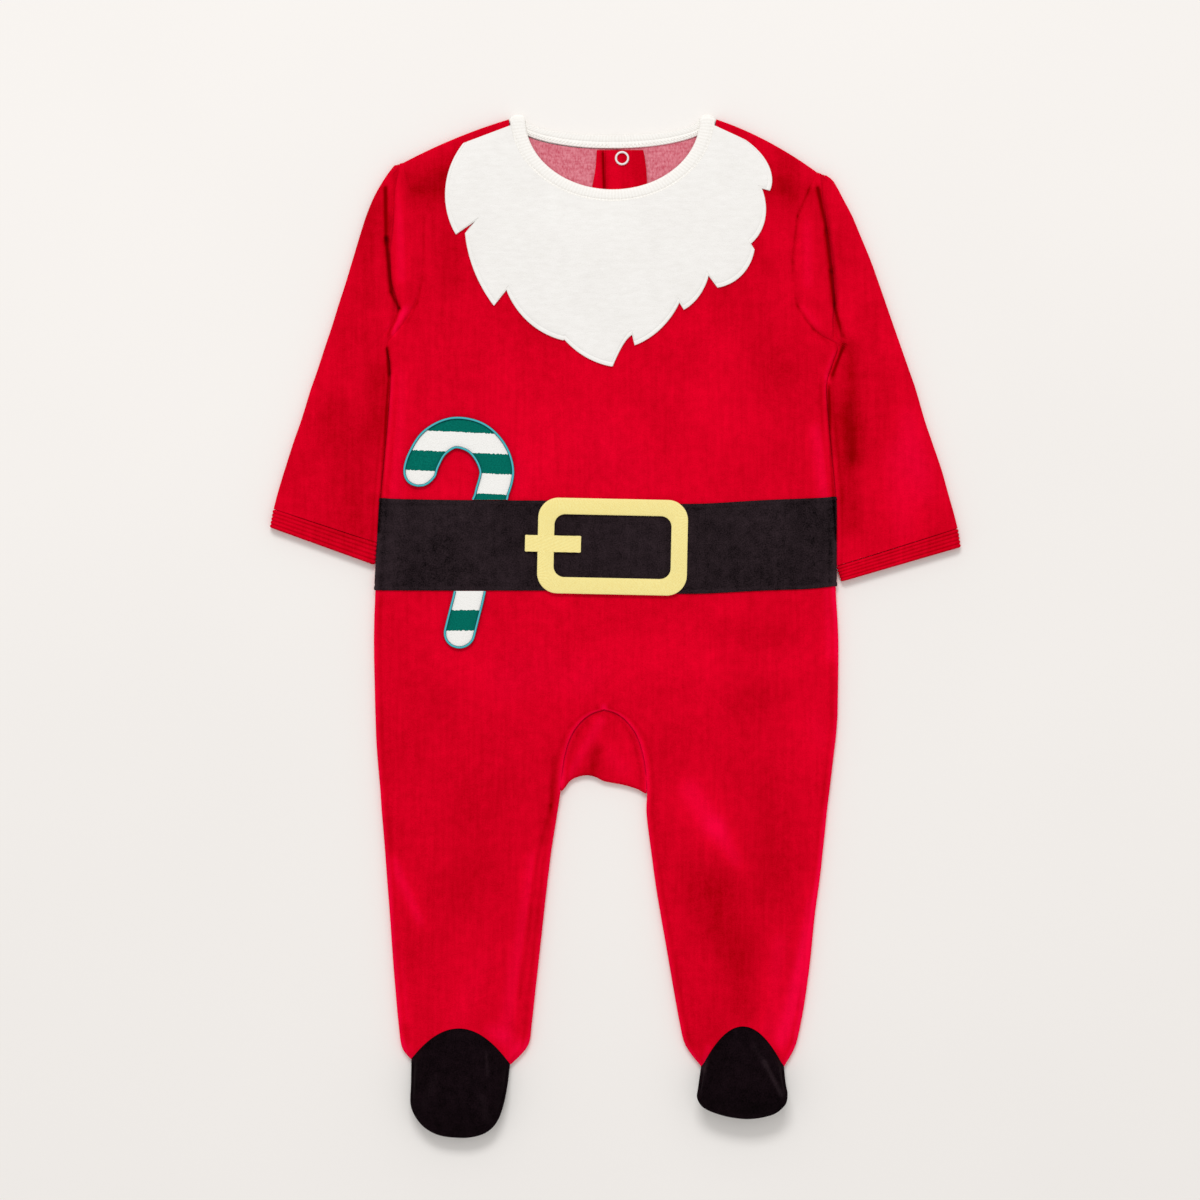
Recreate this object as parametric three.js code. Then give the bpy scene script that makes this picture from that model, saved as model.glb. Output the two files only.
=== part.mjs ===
// A baby's velour sleepsuit in the manner of a winter costume, laid flat and face up.
// Millimetres. X runs across the page, Y up the page towards the neck, Z up from the surface it lies on.
// The origin is on that surface, under the middle of the laid-out suit.
// Each piece of cloth is a grid of points on its middle surface, as it is cut, bent and sewn. The grid is moved
// half the cloth's thickness each way, and its open edge is closed by a rim.
import * as THREE from "three";

// Driving sizes
const velour = 1.5; // thickness of the velour wall
const foldRadius = 1.6; // radius of the middle surface where the suit folds at its sides
const seamGap = 0.3; // space left between two pieces
const fullness = 1.5; // how far the front stands above its own edges
const neckCentre = { x: -1.8, y: 303.3 };
const neckSeam = { across: 62, front: 50.4, back: 18 }; // half ellipses where the neckband is sewn on
const neckEdge = { across: 52.6, front: 42.4, back: 10 }; // half ellipses of the neckband's open edge
const neckbandWall = 2.4;
const centreBack = -5.9; // line where the two backs meet
const facingWall = 1;
const beardWall = 1.3;
const beltWall = 1.3;
const buckleWall = 1.2;
const caneWall = 1.2;
const cuffWall = 1.5;
const cuffRibs = 3;
const cuffRibHeight = 0.9;

const frontLevel = velour / 2 + 2 * foldRadius; // middle of the front wall beside a folded side
const backLevel = velour / 2; // middle of the back wall, flat on the surface
const seamLevel = velour / 2 + foldRadius; // height at which front and back meet
const foldAngle = THREE.MathUtils.degToRad(71); // a folded edge stops just short of its seam
const foldSteps = 3;
const foldReach = foldRadius + velour / 2;

const lerp = THREE.MathUtils.lerp;
const clamp01 = (t) => Math.min(1, Math.max(0, t));
const ease = (t) => clamp01(t) ** 2 * (3 - 2 * clamp01(t));
const point = (x, y, z) => new THREE.Vector3(x, y, z);
const count = (n) => Array.from({ length: n + 1 }, (_, i) => i);

// Reads a table at a fractional row, smoothly through its rows.
function readRow(rows, at) {
  const i = Math.min(Math.floor(at), rows.length - 2);
  const t = at - i;
  const near = [i - 1, i, i + 1, i + 2].map((k) => rows[Math.min(Math.max(k, 0), rows.length - 1)]);
  const out = {};
  for (const key of Object.keys(rows[0])) {
    const [a, b, c, d] = near.map((row) => row[key]);
    const bend = (2 * a - 5 * b + 4 * c - d) * t * t + (3 * b - a - 3 * c + d) * t ** 3;
    out[key] = b + ((c - a) * t + bend) / 2;
  }
  return out;
}
const table = (names, rows) => rows.map((row) => Object.fromEntries(names.map((n, i) => [n, row[i]])));

// Closed wall around grids of middle-surface points. Grids that share points become one sheet. A point may carry
// up and down, its own distances to the two faces.
function sew(grids, thickness) {
  const points = [];
  const seen = new Map();
  const triangles = [];
  const idOf = (p) => {
    const key = p.toArray().map((c) => Math.round(c * 500)).join(" ");
    if (!seen.has(key)) {
      seen.set(key, points.length);
      points.push(p);
    }
    return seen.get(key);
  };
  const addTriangle = (a, b, c) => {
    if (a !== b && b !== c && c !== a) triangles.push([a, b, c]);
  };
  for (const grid of grids) {
    const ids = grid.map((row) => row.map(idOf));
    for (let i = 0; i + 1 < ids.length; i++) {
      for (let j = 0; j + 1 < ids[i].length; j++) {
        addTriangle(ids[i][j], ids[i + 1][j], ids[i + 1][j + 1]);
        addTriangle(ids[i][j], ids[i + 1][j + 1], ids[i][j + 1]);
      }
    }
  }
  const normals = points.map(() => point(0, 0, 0));
  for (const [a, b, c] of triangles) {
    const side = points[b].clone().sub(points[a]);
    const face = side.cross(points[c].clone().sub(points[a]));
    for (const k of [a, b, c]) normals[k].add(face);
  }
  normals.forEach((n) => n.normalize());
  const half = thickness / 2;
  const upper = points.map((p, i) => p.clone().addScaledVector(normals[i], p.up ?? half));
  const lower = points.map((p, i) => p.clone().addScaledVector(normals[i], -(p.down ?? half)));
  const corners = [];
  const edges = new Set(triangles.flatMap(([a, b, c]) => [`${a} ${b}`, `${b} ${c}`, `${c} ${a}`]));
  for (const [a, b, c] of triangles) corners.push(upper[a], upper[b], upper[c], lower[a], lower[c], lower[b]);
  for (const edge of edges) {
    const [a, b] = edge.split(" ").map(Number);
    if (!edges.has(`${b} ${a}`)) corners.push(upper[b], upper[a], lower[a], upper[b], lower[a], lower[b]);
  }
  const geometry = new THREE.BufferGeometry().setFromPoints(corners);
  geometry.computeVertexNormals();
  return geometry;
}

// Height of a wall's top face at a place on the page, from its own triangles.
function topOf(geometry) {
  const position = geometry.getAttribute("position");
  const corner = (i) => new THREE.Vector3().fromBufferAttribute(position, i);
  const facesUp = [];
  for (let i = 0; i < position.count; i += 3) {
    const [a, b, c] = [corner(i), corner(i + 1), corner(i + 2)];
    const turn = (b.x - a.x) * (c.y - a.y) - (b.y - a.y) * (c.x - a.x);
    if (turn > 1e-6) facesUp.push({ a, b, c, turn });
  }
  return (x, y) => {
    let height = 0;
    for (const { a, b, c, turn } of facesUp) {
      const v = ((b.x - x) * (c.y - y) - (b.y - y) * (c.x - x)) / turn;
      const w = ((c.x - x) * (a.y - y) - (c.y - y) * (a.x - x)) / turn;
      const u = 1 - v - w;
      if (Math.min(u, v, w) > -1e-6) height = Math.max(height, a.z * v + b.z * w + c.z * u);
    }
    return height;
  };
}

const suit = new THREE.Group();
function addPiece(name, geometry, colour, roughness = 0.9) {
  const mesh = new THREE.Mesh(geometry, new THREE.MeshStandardMaterial({ color: colour, roughness, metalness: 0 }));
  mesh.name = name;
  suit.add(mesh);
  return geometry;
}
const red = 0xd00018;
const insideRed = 0xdd7888;
const black = 0x1e1618;
const white = 0xf4f1ec;
const yellow = 0xf7e394;
const green = 0x00685f;

// A folded edge: how far a step of the fold reaches out and drops, when the cloth has turned by fold of a quarter.
function foldStep(step, fold) {
  const angle = (fold * foldAngle * step) / foldSteps;
  return { out: foldRadius * Math.sin(angle), drop: foldRadius * (1 - Math.cos(angle)) };
}
const reachOf = (fold) => foldReach * Math.sin(fold * foldAngle);

// Outline of each half, read down the page. "in" is the centre line, then the arch of the crotch and the inside
// of the leg. "out" is the armhole, then the side. A fold of 0 is a flat cut edge and 1 is turned to the seam.
// bow lifts the middle of a row, for the arch over the foot.
const outlineColumns = ["inX", "inY", "outX", "outY", "sideFold", "legFold", "bow"];
const leftOutline = table(outlineColumns, [
  [-1.8, 252.9, -116.3, 206, 0, 0, 0],
  [-1.9, 240, -119.3, 194, 0, 0, 0],
  [-2, 227, -124.5, 184, 0, 0, 0],
  [-2.1, 213, -131, 175.5, 0, 0, 0],
  [-2.2, 199, -136.8, 168, 0.5, 0, 0],
  [-2.3, 184, -135.2, 157, 1, 0, 0],
  [-2.5, 162, -135, 144, 1, 0, 0],
  [-2.9, 134, -136.3, 124, 1, 0, 0],
  [-3.2, 103, -138.3, 102, 1, 0, 0],
  [-3.6, 72.3, -140.7, 76.2, 1, 0, 0],
  [-3.9, 45.3, -142.3, 49, 1, 0, 0],
  [-4.3, 18.3, -143.9, 21.3, 1, 0, 0],
  [-5.2, -14, -144.8, -10, 1, 0, 0],
  [-6.8, -49.8, -143.9, -54, 1, 0, 0],
  [-14, -52, -143.5, -66, 1, 0, 0],
  [-21, -57.3, -142.9, -76, 1, 0, 0],
  [-27, -66, -142, -87, 1, 0, 0],
  [-30.7, -77.5, -141, -98, 1, 0, 0],
  [-32.6, -90, -140.3, -109, 1, 0, 0],
  [-33.3, -101.5, -139.3, -121, 1, 0.5, 0],
  [-35, -113, -138.3, -133, 1, 1, 0],
  [-38.5, -134, -136.9, -152, 1, 1, 0],
  [-42, -160, -135.2, -174, 1, 1, 0],
  [-45.5, -190, -133.4, -200, 1, 1, 0],
  [-48.8, -218, -131.6, -222, 1, 1, 1],
  [-51, -238, -129.9, -240, 1, 1, 6],
  [-53.2, -252, -127.6, -252, 1, 1, 13],
  [-62.5, -263.6, -122.4, -259.6, 1, 1, 19.6],
]);
const rightOutline = table(outlineColumns, [
  [-1.8, 252.9, 106.1, 205, 0, 0, 0],
  [-1.9, 240, 108.3, 193, 0, 0, 0],
  [-2, 227, 113.5, 182.5, 0, 0, 0],
  [-2.1, 213, 122, 174, 0, 0, 0],
  [-2.2, 199, 132.5, 167.5, 0.5, 0, 0],
  [-2.3, 184, 129.8, 156.5, 1, 0, 0],
  [-2.5, 162, 126.4, 144, 1, 0, 0],
  [-2.9, 134, 127.6, 123, 1, 0, 0],
  [-3.2, 103, 129.7, 100, 1, 0, 0],
  [-3.6, 72.3, 131.7, 77, 1, 0, 0],
  [-3.9, 45.3, 131.8, 50, 1, 0, 0],
  [-4.3, 18.3, 132, 22.3, 1, 0, 0],
  [-5.2, -14, 133.6, -10, 1, 0, 0],
  [-6.8, -49.8, 133.1, -54, 1, 0, 0],
  [0.4, -52, 132.2, -66, 1, 0, 0],
  [7.2, -57.3, 131, -76, 1, 0, 0],
  [13.2, -66, 129.7, -87, 1, 0, 0],
  [16.9, -77.5, 128.4, -98, 1, 0, 0],
  [18.8, -90, 127, -109, 1, 0, 0],
  [18.9, -101.5, 125.9, -120, 1, 0.5, 0],
  [18.6, -113, 124.5, -133, 1, 1, 0],
  [21.2, -134, 122.4, -152, 1, 1, 0],
  [24.8, -160, 119.4, -174, 1, 1, 0],
  [30, -190, 116.8, -200, 1, 1, 0],
  [34.8, -218, 113.9, -222, 1, 1, 1],
  [38.4, -238, 110.8, -240, 1, 1, 7],
  [42.4, -252, 107.2, -253, 1, 1, 15],
  [51.2, -265.4, 101.2, -265.4, 1, 1, 24],
]);
const archRow = 13; // the crotch arch starts on this row
const beltRows = { top: 9, bottom: 11 };

// Rows that start on the neck seam, by angle down from the neck point, and the armhole place each runs to
const neckAngles = [12, 25, 40, 56, 73, 90];
const leftArmhole = [[-124.6, 269], [-121, 257], [-117, 245], [-115.2, 232], [-115, 219], [-116.3, 206]];
const rightArmhole = [[117.5, 265], [113, 254.5], [109.3, 243], [107.2, 231], [106.1, 218], [106.1, 205]];
const leftShoulder = [-126.9, 277.5];
const rightShoulder = [120.9, 271.5];

// Largest soft ridges and troughs of the front, each along a line on the page
const creases = table(["x1", "y1", "x2", "y2", "wide", "high"], [
  [-112, 165, -60, 120, 12, 0.5],
  [104, 158, 84, 96, 14, 0.7],
  [82, 150, 52, 96, 9, -0.4],
  [60, -20, 118, -60, 16, 0.5],
  [40, -95, 70, -165, 13, -0.4],
  [112, -130, 96, -235, 9, 0.6],
  [-128, -150, -110, -205, 9, 0.6],
  [-54, -90, -64, -205, 9, -0.4],
  [-100, -30, -40, -60, 14, 0.4],
]);
function creaseHeight(x, y) {
  let height = 0;
  for (const { x1, y1, x2, y2, wide, high } of creases) {
    const [dx, dy] = [x2 - x1, y2 - y1];
    const along = clamp01(((x - x1) * dx + (y - y1) * dy) / (dx * dx + dy * dy));
    height += high * Math.exp(-((Math.hypot(x - x1 - along * dx, y - y1 - along * dy) / wide) ** 2));
  }
  return height;
}

const fullAt = (inward) => 1 - (1 - clamp01(inward / 75)) ** 3;
function frontHeight(x, y, fromInside, fromSide) {
  const neck = (Math.hypot((x - neckCentre.x) / neckSeam.across, (y - neckCentre.y) / neckSeam.front) - 1) * 50;
  const insideEdge = lerp(90, fromInside, ease((-50 - y) / 60));
  const full = fullAt(fromSide - 2) * fullAt(insideEdge - 2) * fullAt(neck) * fullAt(y + 256);
  return frontLevel + (fullness + creaseHeight(x, y)) * full;
}

// One row of a body half from its inner to its outer end. The back wall is the front turned over.
function bodyRow(row, wallSide, heightAt, columns) {
  const inner = new THREE.Vector2(row.inX, row.inY);
  const outer = new THREE.Vector2(row.outX, row.outY);
  const length = inner.distanceTo(outer);
  const across = outer.clone().sub(inner).divideScalar(length);
  const side = clamp01(row.sideFold);
  const leg = clamp01(row.legFold);
  const start = reachOf(leg);
  const end = length - reachOf(side);
  const places = [];
  for (let k = foldSteps; k > 0; k--) places.push({ at: start - foldStep(k, leg).out, drop: foldStep(k, leg).drop });
  for (const k of count(columns)) places.push({ at: lerp(start, end, k / columns), drop: 0 });
  for (let k = 1; k <= foldSteps; k++) places.push({ at: end + foldStep(k, side).out, drop: foldStep(k, side).drop });
  return places.map(({ at, drop }) => {
    const x = inner.x + across.x * at;
    const y = inner.y + across.y * at + row.bow * (1 - (2 * (at / length) - 1) ** 2);
    return point(x, y, heightAt(x, y, at, length - at) - wallSide * drop);
  });
}

function bodyHalf({ side, wallSide, outline, neckDepth, centreX, level, heightAt, columns, stepsAt }) {
  const armhole = side < 0 ? leftArmhole : rightArmhole;
  const shoulder = side < 0 ? leftShoulder : rightShoulder;
  const cutEdge = { sideFold: 0, legFold: 0, bow: 0 };
  const neckPoint = [neckCentre.x + side * neckSeam.across, neckCentre.y];
  const slope = new THREE.Vector2(shoulder[0] - neckPoint[0], shoulder[1] - neckPoint[1]).normalize();
  const grid = [];
  for (let k = foldSteps; k >= 0; k--) {
    const { out, drop } = foldStep(k, 1);
    const inset = reachOf(1) - out;
    const [dx, dy] = [slope.y * side * inset, -Math.abs(slope.x) * inset];
    const ends = { inX: neckPoint[0], inY: neckPoint[1] + dy, outX: shoulder[0] + dx, outY: shoulder[1] + dy };
    grid.push(bodyRow({ ...ends, ...cutEdge }, wallSide, () => level - wallSide * drop, columns));
  }
  neckAngles.forEach((degrees, i) => {
    const angle = THREE.MathUtils.degToRad(degrees);
    const onSeam = neckCentre.x + side * neckSeam.across * Math.cos(angle);
    const inX = degrees === 90 ? centreX : onSeam;
    const inY = neckCentre.y - neckDepth * Math.sin(angle);
    const row = { inX, inY, outX: armhole[i][0], outY: armhole[i][1], ...cutEdge };
    grid.push(bodyRow(row, wallSide, heightAt, columns));
  });
  for (let i = 0; i + 1 < outline.length; i++) {
    const steps = stepsAt(i);
    for (let k = 1; k <= steps; k++) {
      grid.push(bodyRow(readRow(outline, i + k / steps), wallSide, heightAt, columns));
    }
  }
  return side < 0 ? grid : grid.map((row) => [...row].reverse());
}

// Front: one panel from the shoulders to both ankles
const frontGrids = [-1, 1].map((side) =>
  bodyHalf({
    side,
    wallSide: 1,
    outline: side < 0 ? leftOutline : rightOutline,
    neckDepth: neckSeam.front,
    centreX: neckCentre.x,
    level: frontLevel,
    heightAt: frontHeight,
    columns: 7,
    stepsAt: (i) => ([6, 7, 8, 22, 23].includes(i) ? 2 : 1),
  }),
);
const frontTop = topOf(addPiece("front", sew(frontGrids, velour), red));

// Backs: two panels that meet on the centre line under the neck
const backGrids = [-1, 1].map((side) => {
  const centreX = centreBack + (side * seamGap) / 2;
  const outline = (side < 0 ? leftOutline : rightOutline).map((row, i) => ({
    ...row,
    inX: i <= archRow ? centreX : row.inX,
    inY: i <= 4 ? lerp(neckCentre.y - neckSeam.back, 199, i / 4) : row.inY,
  }));
  const grid = bodyHalf({
    side,
    wallSide: -1,
    outline,
    neckDepth: neckSeam.back,
    centreX,
    level: backLevel,
    heightAt: () => backLevel,
    columns: 4,
    stepsAt: () => 1,
  });
  addPiece(side < 0 ? "back_left" : "back_right", sew([grid], velour), insideRed);
  return grid;
});

// Gusset: fills the arch on the front, folds under at the crotch and fills the same arch on the back
const archEnds = [...leftOutline.slice(archRow, 19).reverse(), ...rightOutline.slice(archRow + 1, 19)];
const crotchFold = [-95.5, -93.5, -91.5, -90.2, -90, -91, -92.5, -94, -95, -96.3, -98.5];
const crotchSpan = { left: -31.2, right: 17.6, middle: [-7, -96] };
const gussetRows = 4;
const gusset = archEnds.map(({ inX, inY }, j) => {
  const toMiddle = new THREE.Vector2(crotchSpan.middle[0] - inX, crotchSpan.middle[1] - inY).setLength(0.45);
  const [seamX, seamY] = [inX + toMiddle.x, inY + toMiddle.y];
  const foldX = lerp(crotchSpan.left, crotchSpan.right, j / (archEnds.length - 1));
  const flatY = crotchFold[j] + foldReach;
  const column = [];
  for (const k of count(gussetRows)) {
    const t = k / gussetRows;
    const middle = Math.sin(Math.PI * t) * Math.sin((Math.PI * j) / (archEnds.length - 1));
    column.push(point(lerp(seamX, foldX, t), lerp(seamY, flatY, t), frontLevel + 0.9 * middle));
  }
  for (const k of count(4).slice(1)) {
    const angle = (Math.PI * k) / 4;
    column.push(point(foldX, flatY - foldRadius * Math.sin(angle), seamLevel + foldRadius * Math.cos(angle)));
  }
  for (const k of count(2).slice(1)) {
    column.push(point(lerp(foldX, seamX, k / 2), lerp(flatY, seamY, k / 2), backLevel));
  }
  return column;
});
addPiece("gusset", sew([gusset], velour), red);

// Sleeves, read from the shoulder to the hem. "in" is the armhole seam and then the underarm, "out" the outer
// fold. fold is the width of the full cap that falls over the rest of the sleeve beside the armhole.
const sleeveColumns = ["inX", "inY", "outX", "outY", "fold", "inFold"];
const leftSleeve = table(sleeveColumns, [
  [-127.2, 275.2, -132.5, 275.6, 3, 0],
  [-125.1, 269, -137.1, 269.7, 8, 0],
  [-121.5, 257, -143.7, 258.9, 15, 0],
  [-117.5, 245, -148.5, 248, 19.5, 0],
  [-115.7, 232, -152.5, 236, 19.5, 0],
  [-115.5, 219, -157.5, 219.3, 18.5, 0],
  [-116.8, 206, -161.8, 205, 16.5, 0],
  [-119.9, 194, -166, 192, 10, 0],
  [-125.3, 184, -170, 179, 6, 0],
  [-131.8, 175.5, -174, 167, 3, 0],
  [-137.5, 168, -178.5, 153, 0, 0.5],
  [-136.1, 157, -183, 140, 0, 1],
  [-135.9, 144, -188.1, 123.3, 0, 1],
  [-137.2, 124, -193, 109.5, 0, 1],
  [-139.2, 102, -198, 94, 0, 1],
  [-141.6, 76.2, -202.3, 80, 0, 1],
  [-143.2, 49.5, -204.9, 70, 0, 1],
]);
const rightSleeve = table(sleeveColumns, [
  [121.4, 269.4, 126.6, 270, 3, 0],
  [118, 265, 131, 265.5, 6, 0],
  [113.5, 254.5, 137, 254.5, 10, 0],
  [109.8, 243, 142, 245, 16, 0],
  [107.7, 231, 147, 233, 19.5, 0],
  [106.6, 218, 152.7, 219.3, 21.5, 0],
  [106.6, 205, 157.5, 206, 23, 0],
  [108.9, 193, 162, 193, 21, 0],
  [114.3, 182.5, 166.5, 180, 15, 0],
  [123.3, 174.3, 170.5, 168.5, 7, 0],
  [133.7, 167.8, 175.5, 154, 0, 0.5],
  [130.7, 156.5, 180, 141, 0, 1],
  [127.3, 144, 185.1, 123.3, 0, 1],
  [128.5, 123, 190.5, 107.5, 0, 1],
  [130.6, 100, 195.5, 93, 0, 1],
  [132.6, 77, 200, 77, 0, 1],
  [132.8, 52, 203, 66.5, 0, 1],
  [133.4, 35.5, 205, 58.4, 0, 1],
]);
const capHeight = 2.6;
const capDrop = 1.8;
const sleevePuff = 0.8;
function sleeveRow(row) {
  const inner = new THREE.Vector2(row.inX, row.inY);
  const outer = new THREE.Vector2(row.outX, row.outY);
  const length = inner.distanceTo(outer);
  const across = outer.clone().sub(inner).divideScalar(length);
  const inFold = clamp01(row.inFold);
  const start = reachOf(inFold);
  const end = length - foldReach;
  const cap = Math.min(Math.max(row.fold, 5), (end - start) / 2);
  const beyond = Math.min(start + cap + capDrop, end - 0.6);
  const rest = [0.33, 0.67, 1].map((t) => lerp(beyond, end, t));
  const flats = [start, start + cap * 0.5, start + cap, beyond, ...rest];
  const placed = (at, z) => point(inner.x + across.x * at, inner.y + across.y * at, z);
  const top = (at) => {
    const raised = capHeight * ease(row.fold / 12) * (at <= start + cap + 0.01 ? 1 : 0);
    const lobe = Math.sin((Math.PI / 2) * clamp01((at - start) / (0.7 * cap)));
    const full = sleevePuff * ease(Math.min(at - start, end - at) / 16);
    return frontLevel + raised * lobe + full;
  };
  const line = [];
  for (let k = foldSteps; k > 0; k--) {
    line.push(placed(start - foldStep(k, inFold).out, frontLevel - foldStep(k, inFold).drop));
  }
  for (const at of flats) line.push(placed(at, top(at)));
  for (let k = 1; k <= 6; k++) {
    const angle = (Math.PI * k) / 6;
    line.push(placed(end + foldRadius * Math.sin(angle), seamLevel + foldRadius * Math.cos(angle)));
  }
  for (const t of [0.5, 1]) line.push(placed(lerp(end, start, t), backLevel));
  for (let k = 1; k <= foldSteps; k++) {
    line.push(placed(start - foldStep(k, inFold).out, backLevel + foldStep(k, inFold).drop));
  }
  return line;
}
const sleeveSteps = (i) => ([12, 13, 14].includes(i) ? 2 : 1);
for (const [name, rows] of [["sleeve_left", leftSleeve], ["sleeve_right", rightSleeve]]) {
  const grid = [sleeveRow(rows[0])];
  for (let i = 0; i + 1 < rows.length; i++) {
    for (let k = 1; k <= sleeveSteps(i); k++) grid.push(sleeveRow(readRow(rows, i + k / sleeveSteps(i))));
  }
  addPiece(name, sew([grid], velour), red);
}

// Cuffs: ribbed tubes that go on from the sleeve's hem. Ribs stand out on the outer face only.
function cuffRing(inner, outer, rib) {
  const from = new THREE.Vector2(...inner);
  const to = new THREE.Vector2(...outer);
  const length = from.distanceTo(to);
  const across = to.clone().sub(from).divideScalar(length);
  const reach = foldRadius + cuffWall / 2 + cuffRibHeight;
  const ring = [];
  const add = (at, z, onTable) => {
    const p = point(from.x + across.x * at, from.y + across.y * at, z);
    p.up = cuffWall / 2 + (onTable ? 0 : rib);
    ring.push(p);
  };
  const [start, end] = [reach, length - reach];
  for (const k of count(4)) add(lerp(start, end, k / 4), frontLevel);
  for (const k of count(6).slice(1)) {
    const angle = (Math.PI * k) / 6;
    add(end + foldRadius * Math.sin(angle), seamLevel + foldRadius * Math.cos(angle), k > 4);
  }
  for (const k of count(3).slice(1)) add(lerp(end, start, k / 3), backLevel, true);
  for (const k of count(6).slice(1)) {
    const angle = (Math.PI * k) / 6;
    add(start - foldRadius * Math.sin(angle), seamLevel - foldRadius * Math.cos(angle), k < 2);
  }
  return ring;
}
function addCuff(name, hemIn, hemOut, endIn, endOut) {
  const steps = cuffRibs * 3;
  const rings = count(steps).map((k) => {
    const t = k / steps;
    const inner = [lerp(hemIn[0], endIn[0], t), lerp(hemIn[1], endIn[1], t)];
    const outer = [lerp(hemOut[0], endOut[0], t), lerp(hemOut[1], endOut[1], t)];
    const ring = cuffRing(inner, outer, k % 3 === 0 ? 0 : cuffRibHeight);
    return hemIn[0] < 0 ? ring.reverse() : ring;
  });
  addPiece(name, sew([rings], cuffWall), red);
}
addCuff("cuff_left", [-143.8, 48.7], [-205.4, 69], [-144.5, 37.5], [-206.7, 59.1]);
addCuff("cuff_right", [133.9, 34.6], [205.7, 57.6], [136, 25.6], [206.7, 47]);

// Feet: an upper and a sole with the same outline, parted by the pocket for the toes. The rim is read from
// the left ankle round the toe to the right ankle; the rest of the edge is the arch sewn to the leg.
const leftRim = [
  [-121.9, -260.2], [-122.3, -275], [-122.7, -285.3], [-120.3, -292.5], [-114.6, -299.7], [-105.9, -304.5],
  [-95, -306.1], [-85.5, -305.7], [-76.8, -302.7], [-70.5, -296.1], [-66.6, -285.3], [-64.5, -273.9], [-63, -264],
];
const rightRim = [
  [51.7, -266], [49.3, -275.7], [48.6, -281.7], [51.9, -287.1], [59.1, -290.7], [68.7, -293.7], [79.5, -294.9],
  [89.7, -293.7], [96.9, -291.6], [101.7, -286.5], [102.7, -279.9], [101.6, -272.5], [100.8, -266],
];
const archGap = 0.75;
const soleClear = 0.8;
function footGrid({ rim, leg, toeLift, toeDepth, puff }, wallSide) {
  const last = rim.length - 1;
  const seam = [...(wallSide > 0 ? frontGrids : backGrids)[leg].at(-1)].sort((a, b) => a.x - b.x);
  const [from, to] = [seam[0], seam.at(-1)];
  const archAt = (x) => {
    const i = Math.min(Math.max(seam.findIndex((p) => p.x > x), 1), seam.length - 1);
    const t = (x - seam[i - 1].x) / Math.max(seam[i].x - seam[i - 1].x, 0.001);
    const slope = (seam[i].y - seam[i - 1].y) / Math.max(seam[i].x - seam[i - 1].x, 0.5);
    return lerp(seam[i - 1].y, seam[i].y, t) - archGap * Math.hypot(1, slope);
  };
  const levelAt = (y) => seamLevel + toeLift * ease((Math.max(from.y, to.y) + 4 - y) / toeDepth);
  return rim.map(([x, y], j) => {
    const atEnd = j === 0 || j === last;
    const before = rim[Math.max(j - 1, 0)];
    const after = rim[Math.min(j + 1, last)];
    const inward = new THREE.Vector2(before[1] - after[1], after[0] - before[0]).normalize();
    if (atEnd) inward.set(j === 0 ? 1 : -1, 0);
    const placed = (inset) => [x + inward.x * inset, atEnd ? archAt(x + inward.x * inset) : y + inward.y * inset];
    const column = [];
    for (let k = foldSteps; k >= 0; k--) {
      const { out, drop } = foldStep(k, 1);
      const [px, py] = placed(reachOf(1) - out);
      column.push(point(px, py, levelAt(py) + wallSide * (foldRadius - drop)));
    }
    const [flatX, flatY] = placed(reachOf(1));
    const seamX = atEnd ? flatX : lerp(from.x, to.x, lerp(0.06, 0.94, j / last));
    const seamY = archAt(seamX);
    const long = Math.hypot(seamX - flatX, seamY - flatY);
    for (const k of count(5).slice(1)) {
      const t = k / 5;
      const swell = puff * (1 - Math.exp(-4 * t)) * (1 - ease((t - 0.4) / 0.6)) * ease(long / 26);
      const py = lerp(flatY, seamY, t);
      const under = Math.min(foldRadius + swell * 0.3, levelAt(py) - soleClear);
      const lift = wallSide > 0 ? foldRadius + swell : under;
      column.push(point(lerp(flatX, seamX, t), py, levelAt(py) + wallSide * lift));
    }
    return column;
  });
}
const feet = {
  left: { rim: leftRim, leg: 0, toeLift: 7, toeDepth: 42, puff: 8 },
  right: { rim: rightRim, leg: 1, toeLift: 12, toeDepth: 26, puff: 8.5 },
};
for (const [side, foot] of Object.entries(feet)) {
  addPiece(`vamp_${side}`, sew([footGrid(foot, 1)], velour), black);
  addPiece(`sole_${side}`, sew([footGrid(foot, -1)], velour), black);
}

// Neckband: one closed loop. It runs round the front of the neck, folds over at each side and comes back
// along the back of the neck.
const bandSteps = { strand: 22, fold: 4, across: 3 };
const bandInset = 1;
const bandLevel = { front: neckbandWall / 2 + 2 * foldRadius, back: neckbandWall / 2 };
function bandRow(angle, strand, z, beyond = 0) {
  const row = count(bandSteps.across).map((k) => {
    const t = k / bandSteps.across;
    const across = lerp(neckEdge.across, neckSeam.across - bandInset, t);
    const deep = lerp(neckEdge[strand], neckSeam[strand] - bandInset, t);
    const y = neckCentre.y - deep * Math.sin(angle) + beyond;
    const p = point(neckCentre.x + across * Math.cos(angle), y, z);
    p.up = (neckbandWall / 2) * (k % bandSteps.across === 0 ? 0.55 : 1);
    return p;
  });
  return row.reverse();
}
function bandFold(angle, from, to) {
  return count(bandSteps.fold - 1)
    .slice(1)
    .map((k) => {
      const turn = (Math.PI * k) / bandSteps.fold;
      const z = lerp(from, to, (1 - Math.cos(turn)) / 2);
      return bandRow(angle, "front", z, foldRadius * Math.sin(turn));
    });
}
const strandAngles = count(bandSteps.strand).map((k) => (Math.PI * k) / bandSteps.strand);
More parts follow.
